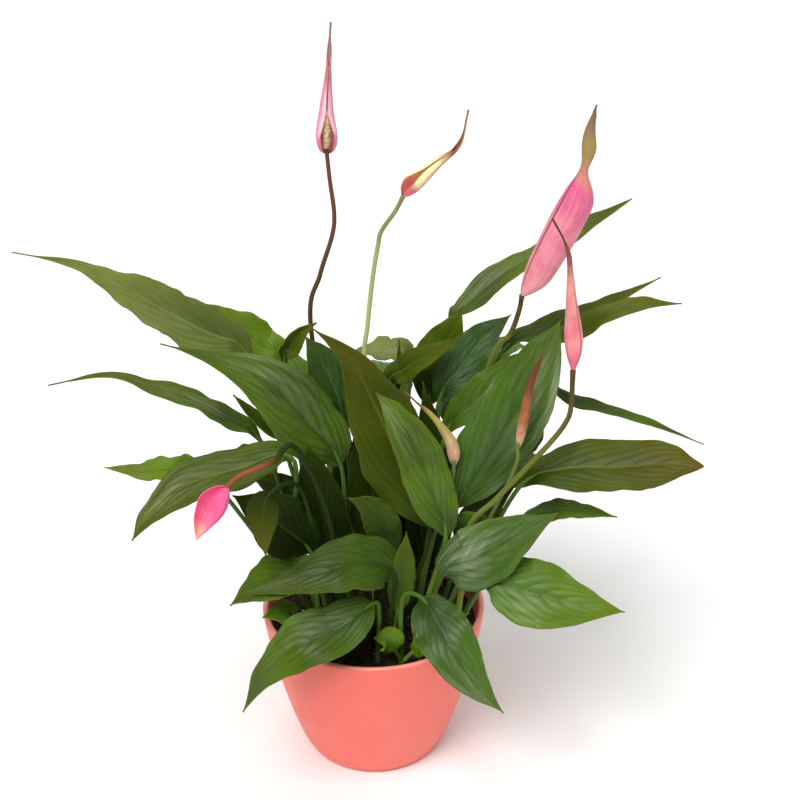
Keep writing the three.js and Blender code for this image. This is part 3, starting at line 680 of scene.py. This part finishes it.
leaf("leaf_back_twisted", "olive_leaf", (6, 18), width=16, face=(0.2, -0.5, 0.8), twist=0.5, flush=0.3,
     shade=0.0, blade=((8, 14, 225), (18, 12, 239), (32, 6, 251), (49, 0, 264)),
     sharing=[dict(width=5, face=(0, -1, 0.1), fold=0.6,
                   blade=((14, 24, 217), (15, 25, 232), (15, 26, 251)))])
leaf("leaf_right_arching", "mid_leaf", (28, 22), width=18, face=(-0.1, -0.3, 0.9), fold=0.25, wave=1.5,
     sharp=0.9, ruffle=0.08, flush=0.6, silver=0.5, sheen=(-0.5, 0.3),
     blade=((43, 32, 254), (51, 36, 266), (69, 42, 280), (91, 48, 292), (118, 56, 306), (144, 62, 320)))
leaf("leaf_right_upright", "mid_leaf", (22, 16), width=30, face=(-0.1, -0.9, 0.2), wave=1,
     blade=((31, 22, 211), (36, 24, 233), (42, 26, 252), (50, 28, 268)))
leaf("leaf_right_blue", "blue_leaf", (28, 8), width=26, face=(-0.1, -0.9, 0.3), wave=1, silver=0.4,
     sheen=(0, 0.4), blade=((37, 10, 220), (49, 12, 240), (61, 16, 256), (76, 20, 268)))
leaf("leaf_right_slim_high", "mid_leaf", (36, 22), width=16, face=(0, -0.4, 0.9), fold=0.3, wave=1,
     flush=0.7, blade=((72, 30, 240), (97, 28, 256), (123, 26, 269), (156, 24, 288)))
leaf("leaf_right_slim_low", "mid_leaf", (42, 12), width=16, face=(0, -0.4, 0.9), fold=0.3, wave=1,
     flush=0.9, blade=((92, 6, 249), (112, 2, 268), (137, -2, 282), (162, -6, 285)))
leaf("leaf_right_strap", "mid_leaf", (26, -4), width=20, face=(-0.2, -0.7, 0.6), wave=1, silver=0.4,
     sheen=(0.5, 0.5), blade=((40, -12, 211), (54, -11, 230), (72, -8, 247), (89, -4, 260)))
leaf("leaf_right_silver", "silver_leaf", (26, -22), width=38, face=(-0.2, -0.9, 0.2), fold=0.15,
     wave=1.5, silver=0.5, sheen=(0.7, 0.6), shade=0.6,
     blade=((46, -30, 176), (62, -26, 206), (79, -20, 236), (91, -14, 261), (99, -8, 276)),
     sharing=[dict(width=20, face=(0, -0.8, 0.5), rise=(38, -28, 128),
                   blade=((48, -36, 158), (54, -38, 170), (61, -40, 177)))])
leaf("leaf_right_edge", "grey_leaf", (44, 0), width=20, face=(-0.9, -0.3, 0.2), wave=1,
     blade=((80, -2, 184), (90, 4, 202), (97, 10, 226), (101, 14, 249)))
leaf("leaf_right_olive", "olive_leaf", (44, -12), width=32, face=(0.1, -0.5, 0.8), wave=1.5,
     sharp=0.85, flush=0.5, shade=0.5,
     blade=((80, -36, 194), (102, -40, 206), (128, -44, 209), (151, -48, 213), (171, -52, 214)),
     sharing=[dict(width=20, face=(0, -0.8, 0.5), shade=1.0, rise=(51, -16.5, 110),
                   blade=((52, -17, 134), (56, -18, 157), (66, -22, 174), (78, -26, 188)))])
leaf("leaf_right_behind", "mid_leaf", (46, 8), width=11, face=(0, -0.2, 1), wave=1,
     blade=((92, 24, 219), (115, 24, 213), (150, 24, 203), (190, 24, 186)))
leaf("leaf_low_right_silver", "silver_leaf", (32, -42), width=34, face=(0, -0.8, 0.5), wave=1,
     silver=1.0, sheen=(-0.3, 0.3), shade=0.7,
     blade=((37, -50, 147), (55, -54, 159), (75, -58, 176), (97, -60, 191)))
leaf("leaf_low_right_thin", "mid_leaf", (48, -20), width=14, face=(0, -0.3, 0.9), wave=1, shade=0.0,
     blade=((80, -34, 169), (98, -38, 179), (114, -42, 181), (130, -46, 180)))
leaf("leaf_low_right_bright", "bright_leaf", (40, -37), width=36, face=(0, -0.75, 0.6), wave=1,
     silver=0.6, sheen=(0.5, 0.3), shade=0.9,
     blade=((60, -58, 146), (83, -66, 146), (106, -72, 143), (132, -78, 142)))
leaf("leaf_front_right_drooping", "silver_leaf", (16, -42), width=30, face=(0.1, -0.8, 0.6), wave=1,
     silver=0.5, sheen=(0.5, 0.75), shade=0.5, rise=(17, -46, 128),
     blade=((27, -58, 137), (35, -72, 131), (43, -84, 122), (55, -92, 106), (70, -94, 89)))
leaf("leaf_front_left_drooping", "mid_leaf", (3, -42), width=32, face=(-0.2, -0.6, 0.8), wave=1,
     silver=0.5, sheen=(0.4, 0.45), shade=0.5, rise=(4, -44, 116),
     blade=((1, -50, 128), (-17, -60, 119), (-38, -66, 112), (-57, -66, 94), (-72, -62, 63)))
leaf("leaf_front_wide", "mid_leaf", (9, -35), width=32, face=(0, -0.6, 0.8), wave=1, blunt=0.5,
     sharp=1.5, silver=0.6, sheen=(0.2, 0.85), shade=0.9,
     blade=((12, -40, 141), (-6, -47, 152), (-27, -52, 149), (-49, -52, 141), (-73, -47, 131)),
     sharing=[dict(width=15, face=(0.1, -0.9, 0.3), shade=0.5,
                   blade=((14, -37, 112), (16, -38, 132), (18, -38, 150), (19, -37, 165)))])
leaf("leaf_front_under", "mid_leaf", (-28, -40), width=28, face=(0, -0.5, 0.8),
     blade=((-32, -43, 143), (-47, -43, 142), (-63, -41, 133), (-79, -37, 117)))
leaf("leaf_rim_curly", "bright_leaf", (-36, -26), width=16, face=(0, -0.5, 0.8), wave=2, crinkle=1.2,
     shade=0.7, blade=((-43, -32, 106), (-50, -36, 112), (-61, -40, 111)))
leaf("leaf_soil_pair", "bright_leaf", (16, -49), width=16, face=(0, -0.7, 0.7), crinkle=0.8,
     silver=0.5, sheen=(0, 0.5), shade=0.8, rise=(16, -49, 89),
     blade=((13, -49, 95), (9, -50, 104), (1, -52, 106)),
     sharing=[dict(width=12, face=(0, -0.5, 0.8), crinkle=1.2, rise=(18, -48, 88),
                   blade=((22, -47, 92), (28, -49, 99), (35, -51, 101)))])
leaf("leaf_inner_broad", "dark_leaf", (-22, -28), width=33, face=(0, -0.7, 0.6), wave=1, shade=0.5,
     blade=((-33, -34, 150), (-46, -39, 168), (-58, -43, 182), (-72, -46, 193)),
     sharing=[dict(width=18, face=(-0.3, -0.9, 0.2), flush=1.0, shade=1.0, rise=(-36, -34, 186),
                   blade=((-51, -58, 201), (-55, -63, 188), (-54, -66, 168)))])
leaf("leaf_inner_front", "mid_leaf", (0, -28), width=20, face=(0.2, -0.9, 0.3), shade=1.0,
     blade=((10, -25, 138), (6, -28, 163), (-1, -33, 178), (-12, -37, 186)))
leaf("leaf_inner_dark_left", "dark_leaf", (-8, -20), width=28, face=(0.2, -0.9, 0.3), shade=1.0,
     blade=((-19, -17, 120), (-26, -19, 157), (-31, -21, 190), (-34, -22, 211)))
leaf("leaf_inner_dark_middle", "dark_leaf", (0, -8), width=28, face=(0.1, -0.9, 0.3), shade=1.0,
     blade=((3, -7, 126), (1, -5, 160), (-3, -2, 192), (-9, 2, 218)))
leaf("leaf_inner_dark_right", "dark_leaf", (20, 2), width=28, face=(0, -0.9, 0.3), shade=0.8,
     blade=((29, 1, 112), (33, 0, 156), (33, 2, 198), (28, 4, 235)),
     sharing=[dict(width=24, face=(0, -0.9, 0.3), shade=1.0,
                   blade=((17, 6, 108), (15, 9, 140), (14, 10, 172), (12, 10, 198)))])
leaf("leaf_rear_middle", "mid_leaf", (2, 42), width=36, face=(0, 0.4, 0.9), wave=1.5,
     blade=((4, 70, 170), (6, 100, 192), (8, 128, 190), (10, 156, 165)))
leaf("leaf_rear_left", "mid_leaf", (-14, 36), width=36, face=(-0.3, 0.3, 0.9), wave=1.5,
     blade=((-34, 66, 175), (-54, 92, 196), (-74, 118, 195), (-94, 144, 172)))
leaf("leaf_rear_right", "mid_leaf", (20, 40), width=36, face=(0.3, 0.3, 0.9), wave=1.5,
     blade=((42, 64, 180), (62, 86, 208), (84, 108, 212), (108, 130, 194)))
leaf("leaf_rear_far_left", "olive_leaf", (-30, 32), width=32, face=(-0.3, 0.1, 0.9), wave=1.5,
     blade=((-60, 46, 150), (-78, 58, 156), (-96, 70, 150), (-112, 84, 134)))
leaf("leaf_rear_far_right", "olive_leaf", (34, 30), width=32, face=(0.3, 0.1, 0.9), wave=1.5,
     blade=((66, 44, 140), (92, 58, 150), (118, 70, 146), (142, 84, 132)))
leaf("leaf_rear_low_left", "bright_leaf", (-6, 46), width=28, face=(-0.2, 0.6, 0.8), wave=1,
     blade=((-14, 70, 122), (-20, 90, 128), (-28, 110, 118), (-36, 128, 92)))
leaf("leaf_rear_low_right", "bright_leaf", (14, 50), width=28, face=(0.2, 0.6, 0.8), wave=1,
     blade=((26, 70, 122), (38, 88, 126), (52, 104, 110), (64, 116, 84)))

# Blooms


def add_stalk(bm, foot, stem, radius, rise=None):
    """A flower's stalk, which thickens into a short neck and reaches into the foot of its hood."""
    curve, _ = growth(foot, rise, stem)

    def path(place):
        return curve(place) + heading(curve, 1.0) * (NECK_REACH * max(0.0, place - 0.98) / 0.02)

    def thickness(place):
        sheath = 0.25 * max(0.0, (place - 0.93) / 0.07) ** 2
        return radius * (1.15 - 0.3 * place) + sheath

    add_tube(bm, path, thickness, STALK_ROWS, 0)


def add_hood(bm, hood, width, curl, face, skin, underside, **form):
    """A spathe in the mesh: one ribbed sheet rolled round the curve through the hood's points."""
    spine = curve_through(hood)
    length = length_of(spine)
    seed = rng.uniform(0, 50)

    def relief(u, v, half):
        ribs = 0.12 * math.cos(u * 26) * fullness(half)
        return ribs + 0.7 * noise.noise(Vector((u * 1.5, v * length / 14, seed))) * fullness(half)

    surface = blade_surface(spine, width, face, curl=curl, relief=relief, **form)
    rows = max(30, round(length / HOOD_ROW_STEP))
    add_blade(bm, surface, HOOD_COLUMNS, rows, lambda u, v: (0, 0, 0, 1), crowding=HOOD_CROWDING, skin=skin,
              underside=underside)


def bloom(name, foot, radius, stem_slot, stem, hood, hood_slot, outside, inside, rise=None, stalk=None,
          **form):
    """A flower as two pieces: its stalk and its hood, whose inner side is the sheet's upper one."""
    bm = new_mesh()
    add_stalk(bm, foot, stem, radius, rise)
    finish_piece(f"fine_{name}_stem", bm, [stem_skins[stalk or stem_slot]], [f"{name}_stem"])
    bm = new_mesh()
    add_hood(bm, hood, skin=0, underside=1, **form)
    finish_piece(f"fine_{name}_hood", bm, [inside, outside], [f"{name}_hood"])


# Each spathe: its colours with the places where each sets in, then its blush, its pale streaks and its edge
tall_outside = spathe_finish(
    "tall_spathe_outside",
    (("#e2788e", 0, 0), ("#ea8a9c", 0.2, 0.4), ("#c08078", 0.66, 0.76), ("#5c4540", 0.78, 0.9)),
    "#dc6c96", "#f5b0c2", "#e58aa6", seam=("#f9cdd6", 0.7, 0.9))
tall_inside = spathe_finish(
    "tall_spathe_inside",
    (("#f49aac", 0, 0), ("#f9aeb8", 0.2, 0.4), ("#d08c84", 0.64, 0.76), ("#6a5048", 0.78, 0.9)),
    "#ee86a8", "#fcc4d0", "#c2708c", heart="#ffe9ea")
second_outside = spathe_finish(
    "second_spathe_outside",
    (("#ec7486", 0, 0), ("#f0a890", 0.25, 0.4), ("#c8a06c", 0.5, 0.62), ("#6b4a38", 0.66, 0.78)),
    "#e4607c", "#f6bfae", "#b8885c", seam=("#f9efbc", 0.5, 0.75))
second_inside = spathe_finish(
    "second_spathe_inside",
    (("#ffaeb0", 0, 0), ("#fff2ba", 0.26, 0.36), ("#f3e2a2", 0.5, 0.6), ("#7a5440", 0.64, 0.76)),
    "#f47a90", "#fff0c4", "#b08a5c")
large_outside = spathe_finish(
    "large_spathe_outside",
    (("#ec9aa4", 0, 0), ("#e98f9e", 0.2, 0.4), ("#dc5f90", 0.48, 0.6), ("#cf857a", 0.63, 0.68),
     ("#988a4a", 0.7, 0.8), ("#5f6636", 0.84, 0.98)),
    "#df7490", "#f6bcb8", "#6a3f3a", ribs=(0.57, 0.8))
large_inside = spathe_finish(
    "large_spathe_inside",
    (("#f2a0b4", 0, 0), ("#f0b0a8", 0.4, 0.6), ("#a8925a", 0.68, 0.8)),
    "#ea88a4", "#fbd0c8", "#7a4a40", heart="#f6d8b8")
bud_skin = spathe_finish(
    "bud_spathe_outside",
    (("#ee7a8c", 0, 0), ("#f59a9c", 0.2, 0.35), ("#e89a92", 0.42, 0.55), ("#8a4c44", 0.66, 0.76),
     ("#553630", 0.78, 0.9)),
    "#e4607c", "#fbbcb2", "#a0564e", ribs=(0.27,))
hanging_skin = spathe_finish(
    "hanging_spathe",
    (("#e87c96", 0, 0), ("#f56a9c", 0.04, 0.14), ("#f77a9e", 0.5, 0.7), ("#f9b89a", 0.74, 0.9)),
    "#ef5a90", "#fb9ab6", "#ee6a90")
tan_skin = spathe_finish(
    "tan_withered_spathe",
    (("#e0b49c", 0, 0), ("#d8b488", 0.2, 0.35), ("#a89a4c", 0.4, 0.6), ("#7a5a38", 0.75, 0.9)),
    "#b98a68", "#efd8b4", "#8a6a40")
brown_skin = spathe_finish(
    "brown_withered_spathe",
    (("#e6cc96", 0, 0), ("#dca888", 0.1, 0.2), ("#a8683a", 0.26, 0.42), ("#6e3c20", 0.5, 0.75)),
    "#8a4a30", "#d89a78", "#6e3c24")

bloom("bloom_tall", foot=(-16, 26), radius=1.3, stem_slot="brown_stem",
      stem=((-34, 30, 259), (-28, 30, 287), (-21, 30, 309), (-19.5, 30, 322), (-21.5, 30, 341),
            (-23, 30, 360)),
      hood=((-23, 34.5, 354), (-23, 34, 374), (-21, 31, 396), (-19, 30, 421)), hood_slot="pink_spathe",
      outside=tall_outside, inside=tall_inside, width=25, curl=2.4, closing=0.66, face=(0.15, -1, 0),
      blunt=0.45, sharp=2)
bloom("bloom_second", foot=(0, 15), radius=1.3, stem_slot="pale_stem",
      stem=((-4, 14, 241), (-2, 12, 265), (1, 8, 293), (4, 6, 312), (6, 4, 321), (13, 2, 332), (17, 2, 340)),
      hood=((17.4, 2, 340.6), (26, 2, 348.5), (35, 2, 357), (45, 2, 366.5), (49, 2, 384)),
      hood_slot="pink_spathe", outside=second_outside, inside=second_inside, width=22, curl=2.6, closing=0.46,
      face=(-0.5, -0.9, 0.4), blunt=0.65, sharp=2.5)
bloom("bloom_large", foot=(32, 2), radius=1.5, stem_slot="olive_stem",
      stem=((64, 2, 248), (74, 2, 264), (78, 0, 278), (79, -2, 287)),
      hood=((79, -2.2, 287.6), (82, -4, 299), (91, -6, 322), (100, -6, 342), (106, -4, 357), (107, -2, 372),
            (112, 0, 387)),
      hood_slot="pink_spathe", outside=large_outside, inside=large_inside, width=37, curl=2.2,
      face=(0.75, 0.5, 0.3), blunt=0.75, sharp=1.3, waist=0.66)
bloom("bloom_bud", foot=(47, -31), radius=1.5, stem_slot="olive_stem",
      stem=((52, -42, 170), (66, -46, 191), (79, -50, 210), (93, -46, 225), (101, -38, 232), (104, -32, 238),
            (105, -24, 254)),
      hood=((105, -24, 254.6), (103, -24, 272), (101.5, -22, 293), (99, -20, 319), (91, -18, 335)),
      hood_slot="rosy_spathe", outside=bud_skin, inside=bud_skin, width=21, curl=2.5, face=(0.4, 0.9, 0),
      blunt=1, sharp=3.2)
bloom("bloom_hanging", foot=(-16, -30), radius=1.5, stem_slot="brown_stem", stalk="hanging_stem",
      rise=(-22, -32, 165),
      stem=((-38, -46, 221), (-49, -53, 217), (-59, -56, 214), (-67, -58, 211), (-72, -60, 207)),
      hood=((-72.3, -60.1, 206.4), (-77, -63, 197), (-83, -66, 189), (-89, -68, 180)),
      hood_slot="rosy_spathe", outside=hanging_skin, inside=hanging_skin, width=26, curl=1.8,
      face=(-0.4, -0.8, 0.4), blunt=0.6, sharp=1.2)


def spadix(foot, tip, reach, rings=11, knobs=7):
    """The spike of florets: a slim body studded with small knobs in rows."""
    bm = new_mesh()
    start, end = Vector(foot), Vector(tip)

    def body(place):
        return reach * math.sin(math.pi * (0.2 + 0.75 * place))

    add_tube(bm, curve_through((start, start.lerp(end, 0.5), end)), body, 24, 0)
    way = (end - start).normalized()
    one = way.orthogonal().normalized()
    for ring in range(rings):
        place = 0.03 + 0.92 * ring / (rings - 1)
        for knob in range(knobs):
            turn = math.pi * 2 * (knob + 0.5 * (ring % 2)) / knobs
            side = Matrix.Rotation(turn, 3, way) @ one
            place_at = Matrix.Translation(start.lerp(end, place) + side * (body(place) - 0.1))
            bmesh.ops.create_icosphere(bm, subdivisions=1, radius=0.6, matrix=place_at)
    florets = pitted_finish("creamy_florets", "#c99b6a", "#f1dfb4", 700.0, 3.0, 0.65, (0.6, 0.8),
                            (0.7, 0.0008))
    finish_piece("fine_bloom_tall_spadix", bm, [florets], ["bloom_tall_spadix"])


spadix((-23, 29.6, 357.5), (-22, 28, 377.6), 2.3)


def withered(name, skin, foot, radius, stem, hood, rise=None, **form):
    """A withered flower as one piece with its stalk."""
    bm = new_mesh()
    add_stalk(bm, foot, stem, radius, rise)
    add_hood(bm, hood, skin=1, underside=1, **form)
    finish_piece(f"fine_{name}", bm, [stem_skins["withered_flower"], skin], [name])


withered("flower_tan", tan_skin, foot=(24, -15), radius=1.2, rise=(34, -19, 150),
         stem=((43, -29, 190), (44, -31, 205)),
         hood=((44, -31, 203), (41, -30, 215), (32, -28, 230), (18, -24, 243)),
         width=14, curl=2.3, face=(0.3, 0.9, 0.2), blunt=0.6, sharp=2.2)
withered("flower_brown", brown_skin, foot=(37, -22), radius=1.1,
         stem=((75, -36, 201), (77, -36, 218)),
         hood=((77, -36, 216), (79, -36, 232), (82, -35, 252), (88, -34, 269)),
         width=9, curl=2, face=(0.3, 0.9, 0), blunt=0.6, sharp=1.2)


# Pot and soil


def bowl_radius(z):
    """The pot's outer radius at a height: steep near the foot and almost upright near the rim."""
    low = max(0.0, 1 - z / POT_HEIGHT)
    return POT_FOOT_RADIUS + (POT_RIM_RADIUS - POT_FOOT_RADIUS) * (1 - low ** 1.23) ** 0.76


def add_turned(bm, profile, steps):
    """Spins a profile that starts and ends on the axis into one closed body."""
    verts = [bm.verts.new((radius, 0, z)) for radius, z in profile]
    edges = [bm.edges.new(pair) for pair in zip(verts, verts[1:])]
    bmesh.ops.spin(bm, geom=verts + edges, cent=(0, 0, 0), axis=(0, 0, 1), angle=math.pi * 2, steps=steps,
                   use_merge=True)
    bmesh.ops.remove_doubles(bm, verts=bm.verts, dist=0.001)
    bmesh.ops.recalc_face_normals(bm, faces=bm.faces)
    for face in bm.faces:
        face.smooth = True


def pot():
    """The bowl as one profile: the underside and its foot ring, the outer wall, the round lip, the inside."""
    lip = POT_WALL / 2
    top = POT_HEIGHT - lip
    profile = [(0, 0.4), (POT_FOOT_RADIUS - 3.5, 0.4), (POT_FOOT_RADIUS - 2.8, 0), (POT_FOOT_RADIUS - 1.5, 0),
               (POT_FOOT_RADIUS + 0.3, 1.2)]
    outside = [2.4 + (top - 2.4) * i / 30 for i in range(31)]
    profile += [(bowl_radius(z), z) for z in outside]
    for i in range(1, 12):
        angle = math.pi * i / 12
        profile.append((POT_RIM_RADIUS - lip + lip * math.cos(angle), top + lip * math.sin(angle)))
    inside = [top - (top - POT_FLOOR - 3) * i / 20 for i in range(21)]
    profile += [(bowl_radius(z) - POT_WALL, z) for z in inside]
    profile += [(POT_FOOT_RADIUS - 3, POT_FLOOR), (0, POT_FLOOR)]
    bm = new_mesh()
    add_turned(bm, profile, POT_ROUND_STEPS)
    finish_piece("fine_pot", bm, [pot_finish()], ["pot"])


def soil_height(x, y):
    """The top of the peat: a low mound, lumpy all over."""
    mound = SOIL_LEVEL + SOIL_MOUND * (1 - (x * x + y * y) / SOIL_SPREAD ** 2)
    coarse = 1.3 * noise.noise(Vector((x * 0.12, y * 0.12, 3)))
    return mound + coarse + 0.9 * noise.noise(Vector((x * 0.35, y * 0.35, 8)))


def soil():
    """The peat that fills the pot, a hair clear of its wall and floor."""
    edge = bowl_radius(SOIL_LEVEL) - POT_WALL - SOIL_GAP
    wall = [(bowl_radius(z) - POT_WALL - SOIL_GAP, z) for z in (POT_FLOOR + 3, 20, 35, 50, 65, 78)]
    top = [(edge * (1 - i / 60), SOIL_LEVEL) for i in range(61)]
    bm = new_mesh()
    add_turned(bm, [(0, POT_FLOOR + SOIL_GAP), (POT_FOOT_RADIUS - 4, POT_FLOOR + SOIL_GAP)] + wall + top,
               SOIL_ROUND_STEPS)
    for vert in bm.verts:
        if vert.co.z > SOIL_LEVEL - 3:
            vert.co.z = soil_height(vert.co.x, vert.co.y) - SOIL_SINK
    finish_piece("fine_soil", bm, [peat_finish("dark_peat", "#120c08", "#3a2a1d")], ["soil"])


def crumbs(name, count, small, large, material):
    """Loose crumbs that lie on the peat: small lumps, each turned and squashed its own way."""
    bm = new_mesh()
    for _ in range(count):
        angle = rng.uniform(0, math.pi * 2)
        out = CRUMB_SPREAD * math.sqrt(rng.uniform(0, 1))
        x, y = out * math.cos(angle), out * math.sin(angle)
        size = rng.uniform(small, large)
        shape = Matrix.Diagonal((size, size * rng.uniform(0.6, 1), size * rng.uniform(0.4, 0.8), 1))
        tumbled = Matrix.Rotation(rng.uniform(0, 6), 4, Vector((rng.uniform(-1, 1), rng.uniform(-1, 1), 1)))
        place = Matrix.Translation((x, y, soil_height(x, y) - CRUMB_SINK)) @ tumbled @ shape
        bmesh.ops.create_icosphere(bm, subdivisions=1, radius=1, matrix=place)
    finish_piece(name, bm, [material], [])


pot()
soil()
crumbs("peat_crumbs", 1100, 0.5, 2.2, peat_finish("loose_peat", "#1a120c", "#54402c"))
crumbs("perlite_grains", 70, 0.4, 1.1,
       pitted_finish("white_perlite", "#b9b2a4", "#e6e1d6", 900.0, 3.0, 0.6, (0.8, 0.95), (0.6,)))


# Stage: floor, light and camera


def stage():
    bm = bmesh.new()
    bmesh.ops.create_grid(bm, x_segments=1, y_segments=1, size=8)
    mesh = bpy.data.meshes.new("pale_floor")
    bm.to_mesh(mesh)
    bm.free()
    paper = Finish("pale_floor_paint", roughness=0.9, specular_ior_level=0.1)
    paper.colour(paper.mix(paper.step(paper.noise(3.0), 0.3, 0.7), ink("#f4f4f3"), ink("#f6f6f5")))
    mesh.materials.append(paper.material)
    floor = bpy.data.objects.new("pale_floor", mesh)
    bpy.context.scene.collection.objects.link(floor)


def soft_sun(name, place, strength, spread):
    """A wide, far light that shines from a place towards the middle, and reaches the floor evenly."""
    lamp = bpy.data.lights.new(name, "SUN")
    lamp.energy = strength
    lamp.angle = math.radians(spread)
    light = bpy.data.objects.new(name, lamp)
    light.location = place
    light.rotation_euler = (-Vector(place)).to_track_quat("-Z", "Y").to_euler()
    bpy.context.scene.collection.objects.link(light)


def studio():
    world = bpy.data.worlds.new("soft_white_room")
    world.use_nodes = True
    world.node_tree.nodes["Background"].inputs["Color"].default_value = ink("#ffffff")
    world.node_tree.nodes["Background"].inputs["Strength"].default_value = 0.16
    bpy.context.scene.world = world
    soft_sun("key_light", (-0.5, -0.9, 1.5), 3.0, 35)
    soft_sun("side_light", (1.4, -0.3, 1.3), 0.7, 60)
    soft_sun("back_light", (0.2, 1.0, 1.1), 0.9, 60)


def camera():
    lens = bpy.data.cameras.new("photo_camera")
    lens.lens = 58.5
    lens.sensor_width = 36
    eye = bpy.data.objects.new("photo_camera", lens)
    eye.location = (0.0155, -0.6339, 0.5385)
    eye.rotation_euler = (math.radians(63.76), 0, 0)
    bpy.context.scene.collection.objects.link(eye)
    bpy.context.scene.camera = eye


stage()
studio()
camera()
bpy.context.scene.view_settings.view_transform = "Standard"
